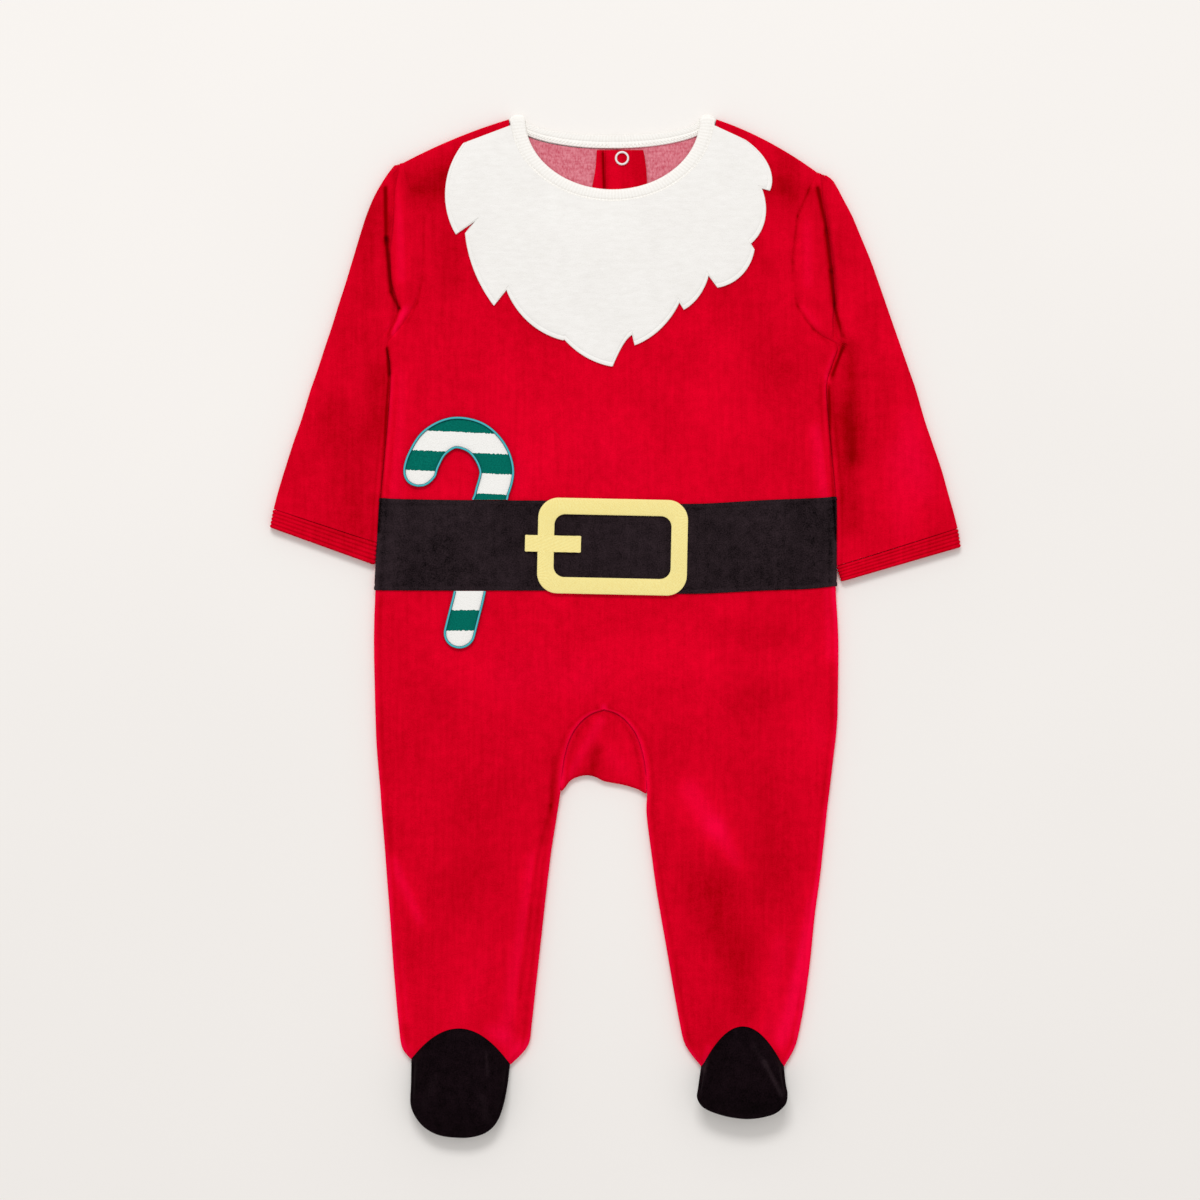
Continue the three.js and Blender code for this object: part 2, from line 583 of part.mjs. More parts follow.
const band = [
  ...strandAngles.map((angle) => bandRow(Math.PI - angle, "front", bandLevel.front)),
  ...bandFold(0, bandLevel.front, bandLevel.back),
  ...strandAngles.map((angle) => bandRow(angle, "back", bandLevel.back)),
  ...bandFold(Math.PI, bandLevel.back, bandLevel.front),
  bandRow(Math.PI, "front", bandLevel.front),
];
addPiece("neck_binding", sew([band], neckbandWall), white);

// Back opening: a facing on each back, right side up inside the neck, and one ring snap
const facingTop = 284.8;
const facingFoot = 216;
const facings = {
  placket_left: { top: [-11.1, centreBack - 0.2], foot: [-19, centreBack - 0.2] },
  placket_right: { top: [centreBack + 0.2, 16.5], foot: [centreBack + 0.2, 24] },
};
const facingLevel = velour + seamGap + facingWall / 2;
for (const [name, { top, foot }] of Object.entries(facings)) {
  const grid = count(3).map((i) => {
    const y = lerp(facingTop, facingFoot, i / 3);
    return [0, 1].map((k) => point(lerp(top[k], foot[k], i / 3), y, facingLevel));
  });
  addPiece(name, sew([grid], facingWall), red);
}
const snapSize = { outer: 4.15, inner: 2.1, wall: 0.7, x: 3.9, y: 280 };
const snap = count(24).map((k) => {
  const angle = (Math.PI * 2 * k) / 24;
  const row = [snapSize.inner, (snapSize.inner + snapSize.outer) / 2, snapSize.outer].map((r, ring) => {
    const z = velour + facingWall + 2 * seamGap + snapSize.wall / 2;
    const p = point(snapSize.x + r * Math.cos(angle), snapSize.y + r * Math.sin(angle), z);
    p.up = snapSize.wall * (ring === 1 ? 0.8 : 0.4);
    return p;
  });
  return row.reverse();
});
addPiece("snap", sew([snap], snapSize.wall), white, 0.4);

// Pieces laid flat on the front: their middle surface follows the face under them.
const laidOn = (top, x, y, wall) => point(x, y, top(x, y) + seamGap + wall / 2);

// Beard: locks read round the neck from one shoulder to the other. Angles are degrees from the page's left,
// distances are from the neck centre at the start, middle and end of each lock.
const locks = table(["from", "to", "start", "middle", "end"], [
  [10.5, 36, 91, 109, 117],
  [36.5, 58, 104, 121, 132],
  [58.5, 89, 121, 137, 148],
  [89, 96, 148, 140, 131],
  [96.5, 110, 137, 128, 119],
  [110.5, 121, 124, 118, 111],
  [121.5, 137, 121, 119, 112],
  [137.5, 155, 119, 111, 100],
  [155.5, 171, 104, 96, 79],
]);
const beardRows = 7;
const beard = [];
for (const { from, to, start, middle, end } of locks) {
  const steps = Math.max(2, Math.round((to - from) / 5));
  for (const k of count(steps)) {
    const t = k / steps;
    const angle = THREE.MathUtils.degToRad(lerp(from, to, t));
    if (from === 89 && k === 0) continue;
    const far = start * (1 - t) * (1 - 2 * t) + 4 * middle * t * (1 - t) + end * t * (2 * t - 1);
    const [c, s] = [Math.cos(angle), Math.sin(angle)];
    const near = 1 / Math.hypot(c / (neckSeam.across + 0.6), s / (neckSeam.front + 0.6));
    const column = count(beardRows).map((i) => {
      const r = lerp(far, near, i / beardRows);
      return laidOn(frontTop, neckCentre.x - r * c, neckCentre.y - r * s, beardWall);
    });
    beard.push(column);
  }
}
addPiece("beard", sew([beard], beardWall), white);

// Belt: a band from side to side
const beltEdge = 2;
const beltColumns = 26;
const [beltTop, beltFoot] = [beltRows.top, beltRows.bottom].map((i) => [leftOutline[i], rightOutline[i]]);
const belt = count(4).map((i) => {
  const t = i / 4;
  const left = lerp(beltTop[0].outX, beltFoot[0].outX, t) + beltEdge;
  const right = lerp(beltTop[1].outX, beltFoot[1].outX, t) - beltEdge;
  return count(beltColumns).map((j) => {
    const u = j / beltColumns;
    const dip = lerp(2.2, 0.8, t) * Math.sin(Math.PI * u);
    const y = lerp(lerp(beltTop[0].outY, beltFoot[0].outY, t), lerp(beltTop[1].outY, beltFoot[1].outY, t), u) - dip;
    return laidOn(frontTop, lerp(left, right, 0.5 - 0.5 * Math.cos(Math.PI * u)), y, beltWall);
  });
});
const beltFace = topOf(addPiece("belt", sew([belt], beltWall), black));

// Buckle: one embroidered frame with its tongue
const buckle = { x: -1.9, y: 47.1, wide: 90.6, tall: 57.8, bar: 10, outer: 9.6, inner: 5.5, turn: -1.2 };
const tongue = { left: -52.5, right: -18.5, half: 4.75, chamfer: 1.5 };
const openWide = buckle.wide - 2 * buckle.bar;
const openTall = buckle.tall - 2 * buckle.bar;
function roundedWithTongue(path, wide, tall, radius, tip) {
  const [w, h] = [wide / 2 - radius, tall / 2 - radius];
  const chamfered = tip + (tip > -wide / 2 ? -tongue.chamfer : tongue.chamfer);
  path.absarc(w, h, radius, 0, Math.PI / 2);
  path.absarc(-w, h, radius, Math.PI / 2, Math.PI);
  path.lineTo(-wide / 2, tongue.half);
  path.lineTo(chamfered, tongue.half);
  path.lineTo(tip, tongue.half - tongue.chamfer);
  path.lineTo(tip, tongue.chamfer - tongue.half);
  path.lineTo(chamfered, -tongue.half);
  path.lineTo(-wide / 2, -tongue.half);
  path.absarc(-w, -h, radius, Math.PI, Math.PI * 1.5);
  path.absarc(w, -h, radius, Math.PI * 1.5, Math.PI * 2);
  return path;
}
const frame = roundedWithTongue(new THREE.Shape(), buckle.wide, buckle.tall, buckle.outer, tongue.left);
frame.holes.push(roundedWithTongue(new THREE.Path(), openWide, openTall, buckle.inner, tongue.right));
const buckleBody = new THREE.ExtrudeGeometry(frame, { depth: buckleWall, bevelEnabled: false, curveSegments: 5 });
let underBuckle = 0;
for (const i of count(20)) {
  for (const j of count(12)) {
    const x = buckle.x + (i / 20 - 0.5) * (buckle.wide + 16);
    underBuckle = Math.max(underBuckle, beltFace(x, buckle.y + (j / 12 - 0.5) * buckle.tall));
  }
}
buckleBody.rotateZ(THREE.MathUtils.degToRad(buckle.turn));
buckleBody.translate(buckle.x, buckle.y, underBuckle + seamGap);
addPiece("buckle", buckleBody, yellow, 0.5);

// Striped cane: a ribbon that runs behind the belt, so it is two pieces
const caneColumns = ["x", "y", "wide"];
const caneUpper = table(caneColumns, [
  [-120, 90, 14],
  [-118.5, 97, 17],
  [-114.3, 105.3, 19],
  [-105.3, 112.7, 20],
  [-93.9, 114.6, 20],
  [-81.3, 110.3, 20],
  [-73, 100.9, 20],
  [-71, 89.5, 19.5],
  [-73.2, 78.4, 19],
]);
const caneLower = table(caneColumns, [
  [-88.3, 17.8, 20],
  [-90, 11, 20],
  [-92.3, 4, 20],
  [-94, -3, 20],
  [-95.6, -8.5, 17],
  [-96.6, -12.5, 9],
]);
function addRibbon(name, line) {
  const steps = (line.length - 1) * 2;
  const grid = count(steps).map((k) => {
    const at = (k / steps) * (line.length - 1);
    const { x, y, wide } = readRow(line, at);
    const back = readRow(line, Math.max(at - 0.2, 0));
    const on = readRow(line, Math.min(at + 0.2, line.length - 1));
    const across = new THREE.Vector2(back.y - on.y, on.x - back.x).setLength(wide / 2);
    return [1, 0.5, 0, -0.5, -1].map((s) => laidOn(frontTop, x - across.x * s, y - across.y * s, caneWall));
  });
  addPiece(name, sew([grid], caneWall), green, 0.6);
}
addRibbon("cane_upper", caneUpper);
addRibbon("cane_lower", caneLower);

export default suit;
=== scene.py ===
# %% [markdown]
# # A baby's velour sleepsuit, laid flat
# The suit lies face up on a pale table and is seen from straight above. Everything on it is thin cloth, so
# nearly every piece here is one idea used again: a sheet of points in the middle of the cloth, moved half
# the cloth's thickness each way and closed by a rim. What makes it a garment is how each sheet rolls at its
# sides, and what makes it velour is the finish. First the measured solids are loaded. They give the size, and
# each one stays until its dressed piece takes its place.

from math import radians

import bpy
import numpy as np
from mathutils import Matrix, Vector


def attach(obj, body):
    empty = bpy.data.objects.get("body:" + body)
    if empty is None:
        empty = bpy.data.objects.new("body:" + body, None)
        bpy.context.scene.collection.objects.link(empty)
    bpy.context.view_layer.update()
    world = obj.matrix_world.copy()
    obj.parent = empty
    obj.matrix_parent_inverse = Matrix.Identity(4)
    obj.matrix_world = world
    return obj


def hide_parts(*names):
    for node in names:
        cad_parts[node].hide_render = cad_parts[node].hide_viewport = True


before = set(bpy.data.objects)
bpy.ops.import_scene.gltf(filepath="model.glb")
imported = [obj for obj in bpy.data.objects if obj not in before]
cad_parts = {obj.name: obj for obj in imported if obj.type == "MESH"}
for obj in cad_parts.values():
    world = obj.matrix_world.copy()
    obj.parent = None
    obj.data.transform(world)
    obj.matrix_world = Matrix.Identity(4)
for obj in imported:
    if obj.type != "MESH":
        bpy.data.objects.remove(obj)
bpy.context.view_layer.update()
print("solids:", sorted(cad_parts))

# %% [markdown]
# ## Helpers for smooth lines
# A cutter draws a seam through a few marks with a flexible curve. `through` does the same with numbers: the
# rows of a table are the marks, and the curve passes through each of them. Every length is in millimetres
# until a mesh is made, because that is how clothes are measured. `walked` and `beside` measure along a line and
# point away from it, for ribbons and rolled edges.

# %% Smooth lines
mm = 0.001


def lerp(a, b, t):
    """The value a share t of the way from a to b."""
    return a + (b - a) * t


def ease(t):
    """0 below 0, 1 above 1, and 3tt - 2ttt between, so it starts and ends level."""
    t = np.clip(t, 0, 1)
    return t * t * (3 - 2 * t)


def through(marks, at):
    """Catmull-Rom curve: between two marks it is the cubic whose slope at each mark is half the step from
    the mark before to the mark after."""
    marks, at = np.asarray(marks, float), np.atleast_1d(at)
    i = np.clip(np.floor(at).astype(int), 0, len(marks) - 2)
    t = (at - i)[:, None]
    a, b, c, d = (marks[np.clip(i + k, 0, len(marks) - 1)] for k in (-1, 0, 1, 2))
    return b + ((c - a) * t + (2 * a - 5 * b + 4 * c - d) * t**2 + (3 * b - a - 3 * c + d) * t**3) / 2


def sampled(marks, steps):
    """The curve through the marks at steps equal parts between each mark and the next."""
    return through(marks, np.linspace(0, len(marks) - 1, (len(marks) - 1) * steps + 1))


def walked(path):
    """Distance from the start along a path, at each of its points."""
    return np.append(0, np.cumsum(np.linalg.norm(np.diff(path, axis=0), axis=1)))


def unit(arrows):
    """Each arrow divided by its own length."""
    return arrows / np.linalg.norm(arrows, axis=-1, keepdims=True)


def beside(path):
    """Direction across a path on the page: its unit tangent turned a quarter to the left."""
    tangent = unit(np.gradient(path, axis=0))
    return np.column_stack([-tangent[:, 1], tangent[:, 0]])


def grid_of(*layers):
    """Points of a grid from their x, y and level, or a cut from its two, each stretched to the grid's size."""
    return np.dstack(np.broadcast_arrays(*layers))


print("halfway from 2 to 6 is", lerp(2, 6, 0.5), "and eased a quarter is", ease(0.25))

# %% [markdown]
# ## Cloth with a thickness
# Blender's Solidify can thicken a sheet, but here the two faces need different reliefs: a rib stands out on
# the outside of a cuff only. So the wall is worked out directly. Each point has a normal, the sum of the
# normals of the faces round it. The upper face is the middle moved along it, the lower face against it, and
# each open edge gets a rim, which may bulge as a turned edge does.

# %% Cloth from grids of points
def sew(grids, wall, rises=None, bulge=0.0, flats=None):
    """Upper face = middle + normal x (wall/2 + rise); lower face = middle - normal x wall/2. Points that
    coincide are one point, so grids that share an edge are sewn together. A rim joins the two faces along
    every edge that only one face has, through a middle ring pushed out by bulge."""
    quads, places, lifts, flat = [], [], [], []
    first = 0
    for k, grid in enumerate(grids):
        ids = first + np.arange(grid.shape[0] * grid.shape[1]).reshape(grid.shape[:2])
        first += ids.size
        quads.append(np.stack([ids[:-1, :-1], ids[1:, :-1], ids[1:, 1:], ids[:-1, 1:]], -1).reshape(-1, 4))
        places.append(grid.reshape(-1, 3))
        lifts.append(np.broadcast_to(0.0 if rises is None else rises[k], ids.shape).ravel())
        flat.append(grid[..., :2].reshape(-1, 2) if flats is None else flats[k].reshape(-1, 2))
    quads, places = np.concatenate(quads), np.concatenate(places)
    lifts, flat = np.concatenate(lifts), np.concatenate(flat)
    _, kept, same = np.unique(np.round(places * 500), axis=0, return_index=True, return_inverse=True)
    cut = flat[quads]
    middle, lift, quads = places[kept], lifts[kept], same.ravel()[quads]
    facing = np.cross(middle[quads[:, 2]] - middle[quads[:, 0]], middle[quads[:, 3]] - middle[quads[:, 1]])
    normal = np.zeros_like(middle)
    for k in range(4):
        np.add.at(normal, quads[:, k], facing)
    normal /= np.maximum(np.linalg.norm(normal, axis=1, keepdims=True), 1e-9)
    start, end = quads.ravel(), np.roll(quads, -1, axis=1).ravel()
    from_cut, to_cut = cut.reshape(-1, 2), np.roll(cut, -1, axis=1).reshape(-1, 2)
    n = len(middle)
    edge = ~np.isin(start * n + end, end * n + start)
    a, b = start[edge], end[edge]
    away = np.zeros_like(middle)
    push = np.cross(middle[b] - middle[a], normal[a] + normal[b])
    np.add.at(away, a, push)
    np.add.at(away, b, push)
    away /= np.maximum(np.linalg.norm(away, axis=1, keepdims=True), 1e-9)
    upper = middle + normal * (wall / 2 + lift)[:, None]
    lower = middle - normal * wall / 2
    ring = middle + away * bulge + normal * (lift / 2)[:, None]
    faces = [quads, quads[:, ::-1] + n]
    corners = [cut, cut[:, ::-1]]
    edge_cut = np.stack([to_cut[edge], from_cut[edge], from_cut[edge], to_cut[edge]], 1)
    if bulge:
        faces += [np.stack([b, a, a + 2 * n, b + 2 * n], 1), np.stack([b + 2 * n, a + 2 * n, a + n, b + n], 1)]
        corners += [edge_cut, edge_cut]
    else:
        faces.append(np.stack([b, a, a + n, b + n], 1))
        corners.append(edge_cut)
    points = np.concatenate([upper, lower, ring] if bulge else [upper, lower])
    used, faces_used = np.unique(np.concatenate(faces), return_inverse=True)
    return {
        "points": points[used],
        "faces": faces_used.reshape(-1, 4),
        "cut": np.concatenate(corners),
        "lift": np.concatenate([lift, 0 * lift, lift / 2])[used],
        "side": np.repeat([0, 1, 1], [len(quads), len(quads), sum(map(len, faces)) - 2 * len(quads)]),
        "area": np.linalg.norm(facing, axis=1).sum() / 2 * mm**2,
    }


# %% [markdown]
# ## The suit's own sizes
# The tables are the outline of the laid suit. Each row of a half runs from its inner end, which is the centre
# line and then the arch and inside of the leg, to its outer end at the armhole and then the side. A fold of 1
# means that the cloth turns under there and meets the back, and 0 means a flat seam.

# %% Outline of the body
velour_wall, fold_radius = 1.5, 1.6
back_level = velour_wall / 2
seam_level = back_level + fold_radius
front_level = seam_level + fold_radius
fold_turn = radians(85)
neck_x, neck_y = -1.8, 303.3
neck_seam = {"across": 62, "front": 50.4, "back": 18}
neck_edge = {"across": 52.6, "front": 42.4, "back": 10}
centre_back = -5.9

# inner x, inner y, outer x, outer y, side fold, leg fold, bow over the foot
left_outline = np.array([
    [-1.8, 252.9, -116.3, 206, 0, 0, 0], [-1.9, 240, -119.3, 194, 0, 0, 0],
    [-2, 227, -124.5, 184, 0, 0, 0], [-2.1, 213, -131, 175.5, 0, 0, 0],
    [-2.2, 199, -136.8, 168, 0.5, 0, 0], [-2.3, 184, -135.2, 157, 1, 0, 0],
    [-2.5, 162, -135, 144, 1, 0, 0], [-2.9, 134, -136.3, 124, 1, 0, 0],
    [-3.2, 103, -138.3, 102, 1, 0, 0], [-3.6, 72.3, -140.7, 76.2, 1, 0, 0],
    [-3.9, 45.3, -142.3, 49, 1, 0, 0], [-4.3, 18.3, -143.9, 21.3, 1, 0, 0],
    [-5.2, -14, -144.8, -10, 1, 0, 0], [-6.8, -49.8, -143.9, -54, 1, 0, 0],
    [-14, -52, -143.5, -66, 1, 0, 0], [-21, -57.3, -142.9, -76, 1, 0, 0],
    [-27, -66, -142, -87, 1, 0, 0], [-30.7, -77.5, -141, -98, 1, 0, 0],
    [-32.6, -90, -140.3, -109, 1, 0, 0], [-33.3, -101.5, -139.3, -121, 1, 0.5, 0],
    [-35, -113, -138.3, -133, 1, 1, 0], [-38.3, -134, -136.9, -152, 1, 1, 0],
    [-41.5, -160, -135.2, -174, 1, 1, 0], [-44.8, -190, -133.4, -200, 1, 1, 0],
    [-47.9, -218, -131.6, -222, 1, 1, 1], [-50.1, -238, -129.9, -240, 1, 1, 6],
    [-52.4, -252, -128, -253, 1, 1, 13.8], [-62.5, -263.6, -122.9, -260.3, 1, 1, 20.8],
])
right_outline = np.array([
    [-1.8, 252.9, 106.1, 205, 0, 0, 0], [-1.9, 240, 108.3, 193, 0, 0, 0],
    [-2, 227, 113.5, 182.5, 0, 0, 0], [-2.1, 213, 122, 174, 0, 0, 0],
    [-2.2, 199, 132.5, 167.5, 0.5, 0, 0], [-2.3, 184, 129.8, 156.5, 1, 0, 0],
    [-2.5, 162, 126.4, 144, 1, 0, 0], [-2.9, 134, 127.6, 123, 1, 0, 0],
    [-3.2, 103, 129.7, 100, 1, 0, 0], [-3.6, 72.3, 131.7, 77, 1, 0, 0],
    [-3.9, 45.3, 131.8, 50, 1, 0, 0], [-4.3, 18.3, 132, 22.3, 1, 0, 0],
    [-5.2, -14, 133.6, -10, 1, 0, 0], [-6.8, -49.8, 133.1, -54, 1, 0, 0],
    [0.4, -52, 132.2, -66, 1, 0, 0], [7.2, -57.3, 131, -76, 1, 0, 0],
    [13.2, -66, 129.7, -87, 1, 0, 0], [16.9, -77.5, 128.4, -98, 1, 0, 0],
    [18.8, -90, 127, -109, 1, 0, 0], [18.9, -101.5, 125.9, -120, 1, 0.5, 0],
    [18.6, -113, 124.5, -133, 1, 1, 0], [21.2, -134, 122.4, -152, 1, 1, 0],
    [24.8, -160, 119.4, -174, 1, 1, 0], [30, -190, 116.8, -200, 1, 1, 0],
    [34.8, -218, 113.9, -222, 1, 1, 1], [38.4, -238, 110.8, -240, 1, 1, 7],
    [41.9, -252, 107.6, -253, 1, 1, 16.2], [51.2, -265.4, 101.2, -265.4, 1, 1, 25.5],
])
arch_row = 13

# %% [markdown]
# ### Neck and armholes
# Above the outline the rows start on the neck and end on the armhole. The first table says how many degrees down
# from the neck point each of them starts, the others where it ends. `side_line` and `inside_line` give an edge as
# heights with an x at each, so that a gap to an edge is one interpolation.

# %% Neck and armholes
neck_turns = [12, 25, 40, 56, 73, 90]
left_armhole = [[-124.6, 269], [-121, 257], [-117, 245], [-115.2, 232], [-115, 219], [-116.3, 206]]
right_armhole = [[117.5, 265], [113, 254.5], [109.3, 243], [107.2, 231], [106.1, 218], [106.1, 205]]
left_shoulder, right_shoulder = np.array([-126.9, 277.5]), np.array([120.9, 271.5])
halves = {
    -1: {"outline": left_outline, "armhole": left_armhole, "shoulder": left_shoulder, "crown": 1.8},
    1: {"outline": right_outline, "armhole": right_armhole, "shoulder": right_shoulder, "crown": 3.0},
}


def side_line(side):
    """The outer edge of a half, from ankle to shoulder: heights, and the x at each of them."""
    half = halves[side]
    upper = sampled(np.vstack([half["shoulder"], half["armhole"]]), 6)[:-1]
    body, leg = half["outline"][: arch_row + 1, 2:4], half["outline"][arch_row:, 2:4]
    edge = np.vstack([upper, sampled(body, 6), sampled(leg, 6)[1:]])
    return edge[::-1, 1], edge[::-1, 0]


def inside_line(side):
    """The inner edge of a leg, from ankle to arch: heights, and the x at each of them."""
    edge = sampled(halves[side]["outline"][arch_row:, :2], 6)
    return edge[::-1, 1], edge[::-1, 0]


print("body is", left_shoulder[1] - left_outline[-1, 3], "mm from shoulder to ankle")

# %% [markdown]
# ## Painted light and shade in the pile
# Velour has short upright hairs, and its folds, edges and overlaps show as light and dark bands. Here these are
# painted into the colour: painted shade in folds and where one piece lies over another, and painted highlights on
# raised folds and edges. Those marks follow folds and edges, not the weave. Each is a soft line on the page with a
# tone, light above 0 and dark below. Their sum is kept on the mesh as a number per point, and the finish reads it.

# %% Painted light and shade in the pile
leg_seam = np.array([
    [-37.1, -78.3, -38.9, -108.3], [-38.9, -108.3, -47.1, -141.3], [-47.1, -141.3, -57.3, -222.3],
])
# x1, y1, x2, y2, wide, tone: painted light above 0, painted shade below
painted_shading_places = {
    "facings inside the neck": [
        [4, 284, 6, 262, 13, -0.3], [-7.6, 284, -5.6, 222, 1.1, -1], [0, 284, 3, 222, 5, 0.25],
        [18, 284, 22, 222, 6, -0.3],
    ],
    "sleeves, and the folds and seams beside them": [
        [-130, 150, -135, 25, 7, 0.3], [-141, 150, -145, 112, 8, -0.4], [-146, 90, -148, 64, 6, 0.15],
        [134, 130, 141, 60, 8, -0.45], [141, 166, 143, 100, 6, -0.6], [-146, 258, -150, 196, 7, -0.35],
        [166, 98, 172, 58, 12, 0.25], [-137.8, 262, -137.3, 231, 1.6, -1],
        [-137.3, 231, -134.3, 201, 1.6, -1.1], [-134.3, 199, -129.5, 190, 1.4, -1],
        [-129.5, 190, -136, 174, 1.1, -0.8], [-126.5, 189, -133, 175, 2, 0.5],
        [-130, 262, -128, 208, 3.5, 0.4], [-136.8, 166, -135.7, 151, 1.2, -1.1],
        [-135.7, 149, -139.7, 89, 1.2, -1.2], [-139.7, 87, -142, 56, 1.2, -1.1],
        [121, 262, 126, 238, 1.5, -1], [126, 236, 129, 213, 1.6, -1.1], [129, 211, 131, 193, 1.6, -1.2],
        [131, 191, 136, 173, 1.5, -1], [137, 169, 129.5, 149, 1.2, -1], [127.6, 143, 128.3, 118, 1.2, -1.2],
        [128.3, 116, 132, 52, 1.2, -1.1], [114, 252, 115, 205, 4.5, 0.35], [131, 163, 126, 150, 2, 0.4],
        [116.7, 263, 108.9, 245, 0.9, -0.45], [108.9, 245, 105.9, 217.5, 0.9, -0.5],
        [105.9, 217.5, 108.9, 191, 0.9, -0.5], [108.9, 191, 118.5, 177.3, 0.9, -0.5],
        [118.5, 177.3, 127, 169.5, 0.9, -0.4], [112, 190, 121, 180, 3, 0.3],
        [-114.5, 245, -115.7, 207, 0.9, -0.3], [-115.7, 207, -119, 193, 0.9, -0.35],
        [-119, 193, -124.5, 181.7, 0.9, -0.4], [-135, 178, -124, 190, 4, 0.3],
        [-185, 85, -160, 180, 9, -0.12], [184, 95, 166, 170, 9, 0.12], [150, 190, 165, 120, 7, -0.15],
        [-168, 125, -152, 62, 14, -0.35], [172, 120, 186, 82, 12, 0.3],
    ],
    "shoulders and chest": [
        [-118, 262, -78, 282, 11, -0.7], [112, 255, 74, 277, 11, -0.4], [104, 282, 102, 262, 8, -0.35],
        [-103, 255, -99, 206, 9, -0.3], [84, 226, 92, 212, 6, -0.3], [121, 116, 126, 78, 6, 0.5],
        [-60, 60, -40, 175, 26, -0.1], [70, 215, 96, 150, 14, -0.15], [-100, 120, -60, 90, 18, 0.15],
        [20, 130, 60, 90, 20, -0.15], [-40, 122, 40, 112, 42, 0.2], [-100, 60, 90, 58, 40, 0.12],
    ],
    "belly, hips and gusset": [
        [129, 26, 130, -20, 5, 0.45], [-62, -42, -22, -30, 20, 0.3], [62, -4, 98, -8, 10, -0.35],
        [72, -48, 108, -36, 12, -0.3], [-30, -93, -9, -57, 4, 0.4], [-14, -90, -11, -75, 3.5, -0.6],
        [100, -20, 126, -70, 14, 0.2], [-20, -20, -60, -50, 16, -0.15], [-5, -76, 5, -86, 8, 0.25],
        [-90, -10, 90, -14, 26, 0.12],
    ],
    "legs": [
        [92, -98, 96, -160, 13, -0.3], [-49, -140, -66, -244, 6, 0.4], [98, -190, 90, -240, 8, 0.35],
        [127, -112, 119, -165, 5, 0.35], [-133, -141, -117, -177, 4, 0.5], [-135, -150, -126, -235, 4, 0.3],
        [129, -141, 99, -249, 5, 0.6], [117, -170, 108, -245, 5, 0.4], [45, -99, 58, -120, 9, 0.45],
        [60, -120, 72, -141, 6, 0.45], [-90, -110, -95, -160, 22, -0.2], [60, -160, 75, -225, 16, -0.45],
        [-80, -200, -96, -240, 14, 0.2], [60, -200, 75, -250, 6, 0.2],
    ],
    "ankles and feet": [
        [-74, -243, -62, -252, 6, 0.35], [-127, -250, -122, -258, 3.5, 0.5], [-62, -260, -54, -250, 4, 0.5],
        [45, -256, 51, -264, 3.5, 0.5], [101, -263, 107, -254, 3.5, 0.5], [-80, -282, -76, -296, 4, 0.3],
        [-108, -270, -114, -286, 4, 0.25], [89.2, -261.2, 98.8, -279.4, 1.5, 0.8],
        [55.6, -252.7, 52.5, -266, 1.8, 0.5], [83, -252, 89, -262, 2.2, 0.3],
        [-77.3, -256, -76.2, -268.7, 1.4, 0.4],
    ],
}
seam_wide, seam_tone = 1.4, -0.45
painted_shading_lines = np.vstack([*painted_shading_places.values(),
                        np.column_stack([leg_seam, np.full(3, seam_wide), np.full(3, seam_tone)])])
# A painted highlight along the rolled sides of the body and legs, where the fold catches the light, and a darker
# line of stitches inside it
rim_wide, rim_highlight_tone = 1.7, 0.6
stitch_in, stitch_wide, stitch_tone = 3.8, 1.1, -0.25
rims_below = 150

# %% [markdown]
# ### Adding the marks up
# One function serves the marks, the creases and the grooves, because each of them is a soft line with a strength.
# The painted highlights along the rims need no table: they follow the edges of the body.

# %% Adding the marks up
def along_lines(x, y, lines):
    """Sum over the lines of their last number x exp(-(distance from the line / wide)^2)."""
    x1, y1, x2, y2, wide, high = lines.T
    dx, dy = x2 - x1, y2 - y1
    x, y = x[..., None], y[..., None]
    t = np.clip(((x - x1) * dx + (y - y1) * dy) / (dx * dx + dy * dy), 0, 1)
    return (high * np.exp(-((np.hypot(x - x1 - t * dx, y - y1 - t * dy) / wide) ** 2))).sum(axis=-1)


def painted_light_and_shade(points):
    """The painted light and shade of the marks, and a painted highlight along each side of the body and legs where
    the rolled fold catches the light, with the darker line of the stitches 4 mm inside it. Both fade as
    exp(-(distance / wide)^2)."""
    x, y = points[:, 0], points[:, 1]
    rim = np.zeros(len(points))
    for edge in (side_line(-1), side_line(1), inside_line(-1), inside_line(1)):
        gap = np.abs(x - np.interp(y, *edge, left=999, right=999))
        rim += rim_highlight_tone * np.exp(-((gap / rim_wide) ** 2))
        rim += stitch_tone * np.exp(-(((gap - stitch_in) / stitch_wide) ** 2))
    return along_lines(x, y, painted_shading_lines) + rim * (y < rims_below)


print(len(painted_shading_lines), "marks in the pile")

# %% [markdown]
# ## From numbers to a Blender object
# The arrays go into a mesh in one step each. The object stays at the origin, so the finish can read Object
# coordinates in metres. Edges sharper than 50 degrees stay crisp and the rest is shaded smooth, as cloth is.

# %% Putting a piece into the scene
# Painted shade in grooves: how much darker the pile is for each millimetre of a groove's depth
painted_groove_shade, crisp_angle = 0.55, radians(50)


